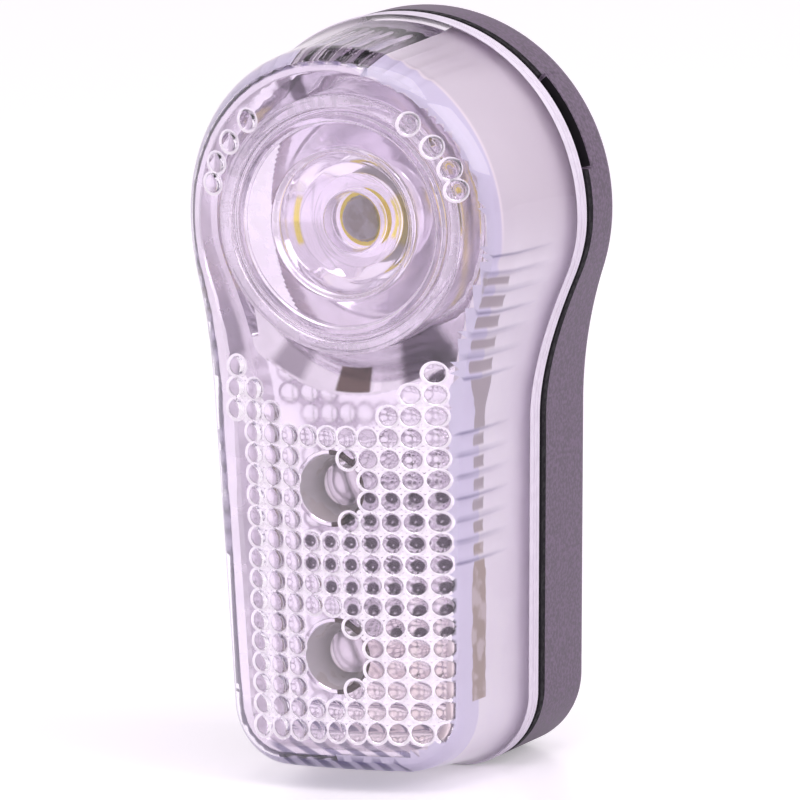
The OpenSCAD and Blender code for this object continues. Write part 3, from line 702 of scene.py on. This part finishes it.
wall_ids = set(np.concatenate(wall + rings[:1])[np.tile(~on_top, len(wall) + 1)].tolist())
print("cover points:", cover.count)

# %% [markdown]
# The relief is a Geometry Nodes tree. It reads two notes that the script leaves on the mesh: the
# distance to the nearest dome, and the run along the wall where flutes are wanted. From them it
# works out how far each point moves, so the bow of the domes and the pitch of the flutes stay plain
# numbers that can be turned up or down on the modifier. Faces get their finishes here as well: satin
# ground between the domes, a pale inner wall and a matt rim.

# %% Notes on the mesh
FLUTE_PITCH, FLUTE_DEPTH = 2.24, 0.38
cover_points = np.concatenate(cover.points)
flat_all = cover_points[:, [0, 2]]
gap_note = np.full(cover.count, 9.0)
gap_note[dome_sheet] = dome_gap(flat_all[dome_sheet])
run_note, share_note = np.zeros(cover.count), np.zeros(cover.count)
inward_note = np.tile([0.0, 1.0, 0.0], (cover.count, 1))
flute_run, flute_share = np.zeros(len(edge)), np.zeros(len(edge))
sides = [(edge[:, 0] > 10), (edge[:, 0] < -10)]
stretches = [(head_angle > 56) & (head_angle < 124), (edge[:, 1] < 0.01) & (np.abs(edge[:, 0]) < 6.9)]
for side in sides:
    stretches += [side & (edge[:, 1] > 43) & (edge[:, 1] < 56), side & (edge[:, 1] > 24) & (edge[:, 1] < 38)]
for stretch in stretches:
    run = np.where(edge[:, 0] < -0.001, edge_run - edge_run[-1], edge_run) if stretch[0] else edge_run
    low, high = run[stretch].min(), run[stretch].max()
    count = max(1, round((high - low) / FLUTE_PITCH))
    flute_run[stretch] = (run[stretch] - low) / (high - low) * count * FLUTE_PITCH
    flute_share[stretch] = 1
for ids, kind in zones:
    if kind == "flute":
        run_note[ids], share_note[ids] = flute_run, flute_share
        inward_note[ids] = np.column_stack([-edge[:, 2], np.zeros(len(edge)), -edge[:, 3]])
cover_mesh = cover.mesh("lens_cover_clear", lens_clear)
for extra in (matt_rim, pale_wall, bead_ground):
    cover_mesh.materials.append(extra)
centres = np.empty(len(cover_mesh.polygons) * 3)
cover_mesh.polygons.foreach_get("center", centres)
centres = centres.reshape(-1, 3)[:, [0, 2]] / MM
on_domes = set(np.asarray(dome_sheet).tolist())
on_sheet = on_domes | set(inner_rim.tolist())
near = np.array([((domes - spot)**2).sum(1).min() for spot in centres])
crowd = np.array([(((domes - spot)**2).sum(1) < 1.75**2).sum() for spot in centres])
ground = (near > (WINDOW_R - 0.01)**2) & ((near < GROUND_R**2) | (crowd > 2))
centre_angle = angle_on_head(centres)
# A narrow strip of the inner face along the right edge takes the pale wall finish: a painted highlight along
# the right front edge.
painted_edge_highlight = (near > (WINDOW_R - 0.01)**2) & (inset_of(centres) < 4.1) & (centres[:, 0] > 0)
painted_edge_highlight &= ~((centre_angle > CLEAR_FROM) & (centre_angle < CLEAR_TO))
for face in cover_mesh.polygons:
    if rim_ids.issuperset(face.vertices) or flange_ids.issuperset(face.vertices):
        face.material_index = 1
    elif wall_ids.issuperset(face.vertices):
        face.material_index = 2
    elif ground[face.index] and on_domes.issuperset(face.vertices):
        face.material_index = 3
    elif painted_edge_highlight[face.index] and on_sheet.issuperset(face.vertices):
        face.material_index = 2
for name, kind, values in (("dome_gap", "FLOAT", gap_note * MM), ("flute_run", "FLOAT", run_note * MM),
                           ("flute_share", "FLOAT", share_note), ("inward", "FLOAT_VECTOR", inward_note)):
    note = cover_mesh.attributes.new(name, kind, "POINT")
    note.data.foreach_set("vector" if kind == "FLOAT_VECTOR" else "value", values.ravel())
print("flute stretches:", len(stretches))

# %% Relief tree
def relief_tree():
    tree = bpy.data.node_groups.new("moulded_relief", "GeometryNodeTree")
    tree.interface.new_socket("Geometry", in_out="INPUT", socket_type="NodeSocketGeometry")
    sizes = {}
    for name, value in (("Dome bow", DOME_BOW), ("Dome foot", DOME_FOOT),
                        ("Flute pitch", FLUTE_PITCH), ("Flute depth", FLUTE_DEPTH)):
        socket = tree.interface.new_socket(name, in_out="INPUT", socket_type="NodeSocketFloat")
        sizes[socket.identifier] = value * MM
    tree.interface.new_socket("Finish", in_out="INPUT", socket_type="NodeSocketMaterial")
    tree.interface.new_socket("Geometry", in_out="OUTPUT", socket_type="NodeSocketGeometry")
    inputs = tree.nodes.new("NodeGroupInput").outputs

    def note(name, kind):
        node = tree.nodes.new("GeometryNodeInputNamedAttribute")
        node.data_type = kind
        node.inputs["Name"].default_value = name
        return node.outputs["Attribute"]

    gap = note("dome_gap", "FLOAT")
    foot = product(tree, inputs["Dome foot"], inputs["Dome foot"])
    drop = math_node(tree, "SUBTRACT", foot, product(tree, gap, gap))
    cap = math_node(tree, "MAXIMUM", drop, 0.0)
    cap = math_node(tree, "DIVIDE", cap, product(tree, inputs["Dome bow"], 2.0))
    turn = math_node(tree, "DIVIDE", note("flute_run", "FLOAT"), inputs["Flute pitch"])
    wave = math_node(tree, "ABSOLUTE", math_node(tree, "SINE", product(tree, turn, math.pi)))
    flute = product(tree, wave, inputs["Flute depth"], note("flute_share", "FLOAT"))
    move = tree.nodes.new("ShaderNodeVectorMath")
    move.operation = "SCALE"
    tree.links.new(note("inward", "FLOAT_VECTOR"), move.inputs[0])
    tree.links.new(math_node(tree, "ADD", cap, flute), move.inputs["Scale"])
    shift = tree.nodes.new("GeometryNodeSetPosition")
    tree.links.new(inputs["Geometry"], shift.inputs["Geometry"])
    tree.links.new(move.outputs["Vector"], shift.inputs["Offset"])
    realize = tree.nodes.new("GeometryNodeRealizeInstances")
    tree.links.new(shift.outputs[0], realize.inputs[0])
    paint = tree.nodes.new("GeometryNodeSetMaterial")
    clear_face = tree.nodes.new("FunctionNodeCompare")
    clear_face.data_type = "INT"
    clear_face.operation = "EQUAL"
    tree.links.new(tree.nodes.new("GeometryNodeInputMaterialIndex").outputs[0], clear_face.inputs["A"])
    tree.links.new(clear_face.outputs[0], paint.inputs["Selection"])
    tree.links.new(realize.outputs[0], paint.inputs["Geometry"])
    tree.links.new(inputs["Finish"], paint.inputs["Material"])
    tree.links.new(paint.outputs[0], tree.nodes.new("NodeGroupOutput").inputs[0])
    return tree, sizes

def baked(carrier):
    """The plain mesh that an object's modifiers make; the object itself goes."""
    graph = bpy.context.evaluated_depsgraph_get()
    result = bpy.data.meshes.new_from_object(carrier.evaluated_get(graph))
    bpy.data.objects.remove(carrier)
    return result

def grown(mesh, tree, values):
    """The plain mesh that a node tree makes of this mesh."""
    carrier = bpy.data.objects.new("carrier", mesh)
    scene.collection.objects.link(carrier)
    modifier = carrier.modifiers.new("rule", "NODES")
    modifier.node_group = tree
    for identifier, value in values.items():
        modifier[identifier] = value
    return baked(carrier)

tree, sizes = relief_tree()
sizes[[s.identifier for s in tree.interface.items_tree if s.name == "Finish"][0]] = lens_clear
relief = grown(cover_mesh, tree, sizes)
relief.name = "lens_cover_clear"
for name in ("dome_gap", "flute_run", "flute_share", "inward"):
    relief.attributes.remove(relief.attributes[name])
relief.shade_smooth()
relief.set_sharp_from_angle(angle=math.radians(38))

FIRST_DARK = {7: 7, 8: 6, 9: 4, 10: 4, 11: 5, 12: 6, 13: 8}
HEART_ROW, WARM_LOSS, HEART_SHADE = 9.5, np.array([0.06, 0.12, 0.22]), (0.02, 0.014, 0.022)

def painted_refraction_shade(flat):
    """Painted refraction shade on the domes: dark hearts with a small painted highlight in the middle rows, a
    thin dark rim on each dome strongest on the right and lower left, dark stripes in the left columns, and a
    little tan low on the right.
    """
    tint = np.ones((len(flat), 3))
    for x, z in domes:
        near = np.flatnonzero(((flat - (x, z))**2).sum(1) < (WINDOW_R + 0.01)**2)
        column, row = 5 + (x - MIDDLE_X) / PITCH_X, 1 + (TOP_Z - z) / PITCH_Z
        if not len(near) or z > TOP_Z + 1:
            continue
        spot = flat[near] - (x, z)
        far, turn = np.hypot(*spot.T), np.arctan2(spot[:, 1], spot[:, 0])
        right_side, lower_left = (np.clip(np.cos(turn - middle), 0, 1) for middle in (0.2, 3.9))
        rim = np.clip((far - 0.86) / 0.08, 0, 1) * (0.2 + 0.8 * right_side + 0.6 * lower_left**2)
        dark = np.clip(rim, 0, 1)
        if round(column) >= FIRST_DARK.get(round(row), 99):
            lift = (HEART_ROW - row) * 0.17
            heart = np.hypot(spot[:, 0] - (column - 6.5) * 0.07, spot[:, 1] - lift)
            spark = np.hypot(spot[:, 0] - 0.05, spot[:, 1] + 0.2 - lift)
            dark = np.maximum(dark, np.clip((0.72 - heart) / 0.1, 0, 1) * np.clip(spark / 0.12, 0.55, 1))
        elif round(column) < 4:
            dark = np.maximum(dark, 0.8 * np.clip(1 - np.abs(spot[:, 0] - 0.42) / 0.13, 0, 1))
        warm = np.clip((row - 12.5) / 2, 0, 1) * np.clip((column - 4) / 3, 0, 1)
        tint[near] = (1 - dark[:, None]) * (1 - warm * WARM_LOSS) + dark[:, None] * HEART_SHADE
    return tint

spots = np.empty(len(relief.vertices) * 3)
relief.vertices.foreach_get("co", spots)
spots = spots.reshape(-1, 3) / MM
# Painted refraction shade on the domes goes into the colour note.
colours = np.ones((len(spots), 4))
inner = np.asarray(dome_sheet)
colours[inner, :3] = painted_refraction_shade(spots[inner][:, [0, 2]])
# Painted shade in the valleys of the flutes: soft on the right flank, bold on the top and the bottom.
wave = np.abs(np.sin(flute_run / FLUTE_PITCH * math.pi))
right_flank = (flute_share > 0) & (edge[:, 0] > 0) & (edge[:, 1] < HEAD_Z)
painted_valley_shade = np.where(right_flank, np.clip(1 - wave / 0.45, 0, 1), 0)
bold = (flute_share > 0) & (on_top | (edge[:, 1] < 0.01))
painted_valley_shade = np.where(bold, 1.35 * np.clip((0.8 - wave) / 0.15, 0, 1), painted_valley_shade)
for ring, strength in zip(wall, (0.9, 1.0, 1.0, 0.9, 0.75, 0.5, 0.2, 0, 0)):
    colours[ring, :3] = 1 - strength * painted_valley_shade[:, None] * (0.62, 0.64, 0.52)
    colours[ring, 3] = np.where(flute_share > 0, np.clip((wave - 0.62) / 0.14, 0, 1), 1)
relief.attributes.new(PAINTED_SHADE_NOTE, "FLOAT_COLOR", "POINT").data.foreach_set("color", colours.ravel())
place("lens_cover_clear", relief, "cover", "lens_clear", "lens_cover")

# %% [markdown]
# ## Reflector
# Behind the cover stands a bright plated tray: a flat plate, a wide bowl for the main lamp that cuts
# into the plate as a rounded chin, two tall cups and a raised rim that follows the cover. One sheet
# with holes gives the whole front, and a second one behind it gives the thickness.

# %% Reflector skin
PLATE_Y, BOARD_Y, PLATE_T, SKIRT_IN, SKIRT_BACK_IN = -10.4, -3.2, 1.0, 4.7, 3.5
BOWL_R, FOOT_R, FOOT_Y = 18.4, 4.2, -5.25
CUP_R, HOLE_R, CUP_TIP = 3.6, 2.8, -16.9
RIM_OUT, RIM_IN, RIM_GAP = 3.7, 4.6, 0.75

def bowl_depth(radius):
    return FOOT_Y + (PLATE_Y - FOOT_Y) * (radius**2 - FOOT_R**2) / (BOWL_R**2 - FOOT_R**2)

def plate_front(flat):
    radius = np.hypot(flat[:, 0], flat[:, 1] - HEAD_Z)
    bowl = np.where(radius < BOWL_R, bowl_depth(radius), PLATE_Y)
    step = np.clip((inset_of(flat) - SKIRT_IN - 0.7) / 0.5, 0, 1)
    return PLATE_Y + (bowl - PLATE_Y) * step

tray = Skin()
plate_grid = grid(-18, 18, 0.7, 4, 78, 0.7, 0, 0)
polar = np.concatenate([circle(0, HEAD_Z, r, 96) for r in np.arange(4.8, BOWL_R + 0.01, 0.8)])
polar = np.concatenate([polar, circle(0, HEAD_Z, BOWL_R, 240), circle(0, HEAD_Z, BOWL_R + 0.12, 240)])
plate_grid = plate_grid[np.hypot(plate_grid[:, 0], plate_grid[:, 1] - HEAD_Z) > BOWL_R + 0.3]
lips = np.concatenate([drawn_in(SKIRT_IN + 0.7), drawn_in(SKIRT_IN + 1.2), drawn_in(SKIRT_IN + 1.4)])
plate_points = np.concatenate([plate_grid, polar, lips])
hollow = SKIRT_IN + PLATE_T

def clear_of(points, inset, lamp_gap):
    keep = inset_of(points) > inset
    for z in LAMP_Z:
        keep &= np.hypot(points[:, 0], points[:, 1] - z) > lamp_gap
    return points[keep]

fronts, backs, cup_insides, cup_edges = [], [], [], []
for z in LAMP_Z:
    chain = []
    for radius, depth in ((CUP_R + 0.5, PLATE_Y), (CUP_R + 0.5, CUP_TIP + 0.1), (CUP_R + 0.4, CUP_TIP),
                          (CUP_R + 0.1, CUP_TIP), (CUP_R, CUP_TIP + 0.1), (HOLE_R, PLATE_Y),
                          (HOLE_R, PLATE_Y + PLATE_T)):
        chain.append(tray.ring(circle(0, z, radius, 64), depth))
    for a, b in zip(chain, chain[1:]):
        tray.bridge(a, b)
    cup_insides += chain[4:6]
    cup_edges += chain[1:5]
    fronts.append((chain[0], circle(0, z, CUP_R + 0.5, 64)))
    backs.append((chain[-1], circle(0, z, HOLE_R, 64)))
foot = circle(0, HEAD_Z, FOOT_R, 96)
foot_front, foot_back = tray.ring(foot, FOOT_Y), tray.ring(foot, FOOT_Y + PLATE_T)
tray.bridge(foot_front, foot_back)
fronts.append((foot_front, foot))
backs.append((foot_back, foot))
back_in, back_out = drawn_in(SKIRT_BACK_IN + PLATE_T), drawn_in(SKIRT_BACK_IN)
skirt = [tray.ring(back_in, parting(back_in, -0.3)), tray.ring(back_out, parting(back_out, -0.3))]
for inset, behind in ((RIM_OUT, 0.15), (RIM_OUT + 0.15, 0), (RIM_IN - 0.15, 0), (RIM_IN, 0.15)):
    flat = drawn_in(inset)
    skirt.append(tray.ring(flat, np.minimum(inner_face(drawn_in(4.2)) + RIM_GAP, PLATE_Y - 0.6) + behind))
skirt.append(tray.ring(drawn_in(SKIRT_IN + 0.1), PLATE_Y))
for a, b in zip(skirt, skirt[1:]):
    tray.bridge(a, b)
tray.sheet(skirt[-1], drawn_in(SKIRT_IN + 0.1), clear_of(plate_points, SKIRT_IN + 0.55, CUP_R + 0.7),
           plate_front, holes=fronts)
rear_rim = drawn_in(hollow + 0.05)
rear_ids = tray.ring(rear_rim, plate_front(rear_rim) + PLATE_T)
tray.sheet(rear_ids, rear_rim, clear_of(plate_points, hollow + 0.3, HOLE_R + 0.3),
           lambda f: plate_front(f) + PLATE_T, flip=True, holes=backs)
tray.bridge(rear_ids, skirt[0])
tray_mesh = tray.mesh("reflector_plated", bright_plating, 30)
for extra in (satin_rim, cup_white, painted_cup_edge_shade, pale_flank):
    tray_mesh.materials.append(extra)
finish_ids = [set(np.concatenate(rings).tolist()) for rings in (skirt[2:], cup_insides, cup_edges, skirt[1:3])]
# The cup edges take the dark brown on their right half only: painted shade.
for face in tray_mesh.polygons:
    for index, ids in enumerate(finish_ids):
        if ids.issuperset(face.vertices) and (index != 2 or face.center.x > 0):
            face.material_index = index + 1
bm = bmesh.new()
bm.from_mesh(tray_mesh)
bmesh.ops.recalc_face_normals(bm, faces=bm.faces)
bm.to_mesh(tray_mesh)
bm.free()
place("reflector_plated", tray_mesh, "cover", "bright_plating", "reflector_panel")

# %% [markdown]
# ## Main optic
# In front of the main lamp sits a clear turned-looking moulding: a thick outer ring, a thin web and a
# curved cone with a pocket over the lamp. A stepped lathe profile with small rounded corners catches
# the light along every step, which is what makes the rings in the photograph. The bevels, the back
# of the ring and a crescent on the web are satin.

# %% Optic and main lamp
def softened(profile, radius, steps=4):
    """Round the inner corners of a profile of (radius, depth) points."""
    result = [profile[0]]
    for before, here, after in zip(profile, profile[1:], profile[2:]):
        a, b, c = Vector(before), Vector(here), Vector(after)
        reach = min(radius, (a - b).length * 0.45, (c - b).length * 0.45)
        start, end = b + (a - b).normalized() * reach, b + (c - b).normalized() * reach
        for i in range(steps + 1):
            f = i / steps
            result.append(tuple(start * (1 - f)**2 + b * 2 * f * (1 - f) + end * f**2))
    return result + [profile[-1]]

def outward(mesh):
    bm = bmesh.new()
    bm.from_mesh(mesh)
    bmesh.ops.remove_doubles(bm, verts=bm.verts, dist=1e-8)
    bmesh.ops.recalc_face_normals(bm, faces=bm.faces)
    bm.to_mesh(mesh)
    bm.free()
    return mesh

OPTIC_R, CONE_R = 13.8, 8.2
RING_BACK = float(bowl_depth(OPTIC_R)) - 0.3
WEB_RINGS = (8.0, 8.5, 9.0, 9.5, 10.0, 10.45, 10.9)
optic_profile = [(0, -11.5), (7.6, -11.5), *((radius, -12.2) for radius in WEB_RINGS),
                 (11.1, -12.45), (11.7, -12.45), (11.9, -12.0), (12.3, -12.0),
                 (12.5, -12.8), (OPTIC_R, -12.8), (OPTIC_R, RING_BACK),
                 (12.3, RING_BACK), (12.3, -11.0), (CONE_R, -10.6), (7.4, -9.2), (6.3, -7.6),
                 (4.9, -6.2), (3.4, -6.2), (3.4, -8.8), (0, -9.4)]
optic = Skin()
optic.lathe((0, HEAD_Z), softened(optic_profile, 0.25), 128)
optic_mesh = outward(optic.mesh("main_optic_clear", optic_clear, 40))
optic_mesh.materials.append(bead_ground)
for face in optic_mesh.polygons:
    x, y, z = (face.center - Vector((0, 0, HEAD_Z * MM))) / MM
    far, turn = math.hypot(x, z), math.degrees(math.atan2(z, x)) % 360
    ring_back = 12.4 < far < 13.7 and abs(y - RING_BACK) < 0.05
    crescent = 8.1 < far < 10.8 and y < -12.15 and abs(turn - 184) < 56 * math.sqrt((far - 7.9) / 2.9)
    bevel = y < -11.45 and far > 7 and 0.25 < abs(face.normal.y) < 0.85
    face.material_index = int(ring_back or crescent or bevel)
place("main_optic_clear", optic_mesh, "cover", "optic_clear", "main_optic")

TIP_TURNS = [math.radians(angle) for angle in range(0, 90, 9)]
DOME_R, EMITTER_Y, DIE_R = 2.7, -5.4, 3.0
dome = Skin()
cap = [(DOME_R * math.cos(t), EMITTER_Y - DOME_R * math.sin(t)) for t in TIP_TURNS]
dome.lathe((0, HEAD_Z), [(0, -5.2), (DOME_R, -5.2)] + cap + [(0, -8.1)], 64)
dome_mesh = outward(dome.mesh("main_lamp_dome", lamp_clear, 50))
place("main_lamp_dome", dome_mesh, "cover", "lamp_clear", "main_led_dome")
base = Skin()
face_rings = [(radius, EMITTER_Y) for radius in (3.5, DIE_R, 2.2, 0)]
base.lathe((0, HEAD_Z), softened([(0, -4.2), (3.5, -4.2)] + face_rings, 0.15), 64)
base_mesh = outward(base.mesh("main_lamp_emitter", emitter_yellow, 40))
base_mesh.materials.append(die_grey)
for face in base_mesh.polygons:
    corners = [base_mesh.vertices[i].co for i in face.vertices]
    reach = max(math.hypot(corner.x, corner.z - HEAD_Z * MM) for corner in corners)
    face.material_index = int(reach < DIE_R * MM)
place("main_lamp_emitter", base_mesh, "cover", "emitter_yellow", "main_led_base")

# %% [markdown]
# ## Small lamps
# The two small lamps are round-headed and tall. Each is a solid of clear resin with a little
# bright cup and a yellow spot cast inside, which the domed tip magnifies.

# %% Small lamps
LAMP_R, LAMP_TIP = 2.5, BOARD_Y - 12.0
CUP_BACK = LAMP_TIP + 6.6

def small_lamp(name, z, node):
    tip = [(LAMP_R * math.cos(t), LAMP_TIP + LAMP_R * (1 - math.sin(t))) for t in TIP_TURNS]
    resin = Skin()
    collar = [(0, BOARD_Y), (2.95, BOARD_Y), (2.95, -4.2), (LAMP_R, -4.2)]
    resin.lathe((0, z), collar + tip + [(0, LAMP_TIP)], 48)
    place(name + "_resin", outward(resin.mesh(name + "_resin", lamp_clear, 40)), "cover", "lamp_clear", node)
    core = Skin()
    cup = [(0, 0), (0.9, 0), (1.25, 1.6), (1.1, 1.6), (0.7, 0.9), (0, 0.9)]
    core.lathe((0, z), [(radius, CUP_BACK - ahead) for radius, ahead in cup], 24)
    for leg in (-1.0, 0.5):
        core.box((leg, CUP_BACK, z - 0.25), (leg + 0.5, BOARD_Y - 0.1, z + 0.25))
    place(name + "_cup", outward(core.mesh(name + "_cup", contact_steel, 40)), "cover", "contact_steel")
    spot = Skin()
    yellow = [(0, 0.95), (0.68, 0.95), (0.95, 1.45), (0, 1.5)]
    spot.lathe((0, z), [(radius, CUP_BACK - ahead) for radius, ahead in yellow], 24)
    place(name + "_spot", outward(spot.mesh(name + "_spot", emitter_yellow, 40)), "cover", "emitter_yellow")

small_lamp("upper_lamp", LAMP_Z[0], "upper_led")
small_lamp("lower_lamp", LAMP_Z[1], "lower_led")

# %% [markdown]
# ## Rear housing
# The housing is a black moulding with a fine spark-eroded grain. It is the keyhole again, carried
# straight back from the swept seam to a rounded back edge, with a slot on the right shoulder where
# a coin can lift the cover. The slot is the same rings, pressed in where the slot lies.

# %% Housing skin
WALL, BACK_R, INNER_BACK, SEAM = 1.8, 2.0, 10.3, 0.3
slot_here = ((head_angle > 12) & (head_angle < 42)).astype(float)
shell = Skin()

def shell_ring(inset, depth_of):
    flat = drawn_in(inset)
    return shell.ring(flat, depth_of(flat))

def level(depth):
    return lambda flat: np.full(len(flat), depth)

REBATE, SLOT_D = 1.1, 1.5
slot_depth = SLOT_D * slot_here
seam_rings = [(WALL, 0.75), (REBATE, 0.75), (REBATE, 0), (0.15 + slot_depth * 0.9, 0), (slot_depth, 0.15),
              (slot_depth, 1.2), (slot_depth, 1.85), (0.1 * slot_here, 2.0), (0, 2.1)]
chain = [shell_ring(WALL, level(INNER_BACK))]
chain += [shell_ring(inset, lambda f: parting(f, SEAM + behind)) for inset, behind in seam_rings]
for angle in range(0, 91, 10):
    t = math.radians(angle)
    chain.append(shell_ring(BACK_R * (1 - math.cos(t)), level(BACK_Y - BACK_R * (1 - math.sin(t)))))
for a, b in zip(chain, chain[1:]):
    shell.bridge(b, a)
BUTTON_Z, BUTTON_R = 71.0, 4.3
opening, mouth = (circle(0, BUTTON_Z, BUTTON_R + gap, 64) for gap in (0.3, 0.45))
rings = [shell.ring(opening, INNER_BACK), shell.ring(opening, BACK_Y - 0.15), shell.ring(mouth, BACK_Y)]
for a, b in zip(rings, rings[1:]):
    shell.bridge(b, a)
nothing = np.zeros((0, 2))
shell.sheet(chain[-1], drawn_in(BACK_R), nothing, level(BACK_Y), flip=True, holes=[(rings[-1], mouth)])
shell.sheet(chain[0], drawn_in(WALL), nothing, level(INNER_BACK), holes=[(rings[0], opening)])
shell_mesh = shell.mesh("rear_housing_shell", housing_black, 40)
shell_mesh.materials.append(seal_rubber)
# The housing's front edge and its first 1.2 mm behind the seam, and the walls of the coin slot, take the
# near-black seal finish: a painted shadow line along the seam and painted shade in the slot.
painted_seam_shade_ids = set(np.concatenate(chain[3:7] + [ring[slot_here > 0] for ring in chain[7:9]]).tolist())
for face in shell_mesh.polygons:
    face.material_index = int(painted_seam_shade_ids.issuperset(face.vertices))
outward(shell_mesh)
place("rear_housing_shell", shell_mesh, "housing", "housing_black", "rear_housing")

seats = Skin()
ROOT_Y = INNER_BACK + 0.2
seats.box((-9.55, 1.25, 0.9), (9.55, ROOT_Y, 3.0))
seats.box((-0.5, 4.6, 3.7), (0.5, ROOT_Y, 52.0))
seats.box((-11.3, 1.55, 52.0), (11.3, ROOT_Y, 53.6))
post = [(0, ROOT_Y), (2.1, ROOT_Y), (2.1, 5.3), (1.0, 5.3), (1.0, 8.0), (0, 8.0)]
for side in (-7, 7):
    seats.lathe((side, 63.7), post, 32)
place("cell_seats", outward(seats.mesh("cell_seats", housing_black, 40)), "housing", "housing_black")

seal = Skin()
seal_rings = [seal.ring(drawn_in(d), parting(drawn_in(d), y)) for d, y in
              ((0.25, 0.05), (1.75, 0.05), (1.75, 0.95), (1.15, 0.95), (1.15, 0.28), (0.25, 0.28))]
for a, b in zip(seal_rings, seal_rings[1:] + seal_rings[:1]):
    seal.bridge(a, b)
place("seam_gasket", outward(seal.mesh("seam_gasket", seal_rubber, 60)), "housing", "seal_rubber", "gasket")

# %% [markdown]
# ## Clip and button
# The clip is the solid itself with its edges eased: a copy of the solid's mesh is merged, its flat
# faces are joined again, and a bevel rounds the edges by a moulder's usual three tenths. The button
# is turned, with a shallow dish for the thumb.

# %% Clip and button
def eased(node, name, width, material):
    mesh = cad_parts[node].data.copy()
    mesh.name = name
    mesh.materials.clear()
    mesh.materials.append(material)
    bm = bmesh.new()
    bm.from_mesh(mesh)
    bmesh.ops.remove_doubles(bm, verts=bm.verts, dist=1e-6)
    bmesh.ops.dissolve_limit(bm, angle_limit=math.radians(1), verts=bm.verts, edges=bm.edges)
    for face in bm.faces:
        face.material_index = 0
    bm.to_mesh(mesh)
    bm.free()
    carrier = bpy.data.objects.new("carrier", mesh)
    scene.collection.objects.link(carrier)
    bevel = carrier.modifiers.new("ease", "BEVEL")
    bevel.width, bevel.segments, bevel.limit_method = width * MM, 2, "ANGLE"
    bevel.angle_limit = math.radians(50)
    result = baked(carrier)
    result.name = name
    result.shade_smooth()
    result.set_sharp_from_angle(angle=math.radians(35))
    return result

for node, body in (("clip_root", "housing"), ("clip_tongue", "clip")):
    place(node + "_eased", eased(node, node + "_eased", 0.3, housing_black), body, "housing_black", node)

button = Skin()
button_profile = [(0, 5.95), (2, 5.95), (2, 9.25), (5.4, 9.25), (5.4, 10.25), (BUTTON_R, 10.25),
                  (BUTTON_R, 13.3), (2.8, 13.3), (1.8, 13.0), (0, 12.9)]
button.lathe((0, BUTTON_Z), softened(button_profile, 0.5), 64)
button_mesh = outward(button.mesh("power_button_rubber", button_rubber, 35))
place("power_button_rubber", button_mesh, "button", "button_rubber", "power_button")

# %% [markdown]
# ## Inner parts
# The cells, contacts, board and screws have the right shape already, so they keep their solids and
# only get their finishes.

# %% Finishes of the solids that stay
stay = {cell_wrap: ("battery_left", "battery_right"),
        contact_steel: ("link_contact", "link_spring", "negative_spring",
                        "positive_terminal", "negative_terminal"),
        screw_steel: ("clip_screws", "board_screws"), board_tan: ("led_board",),
        spreader_aluminium: ("heat_spreader",), chip_black: ("driver_chip", "resistors", "tact_switch"),
        finger_brass: ("contact_fingers",), plunger_white: ("switch_plunger",)}
for material, names in stay.items():
    for name in names:
        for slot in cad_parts[name].material_slots:
            slot.material = material
print("solids kept:", sum(len(names) for names in stay.values()))
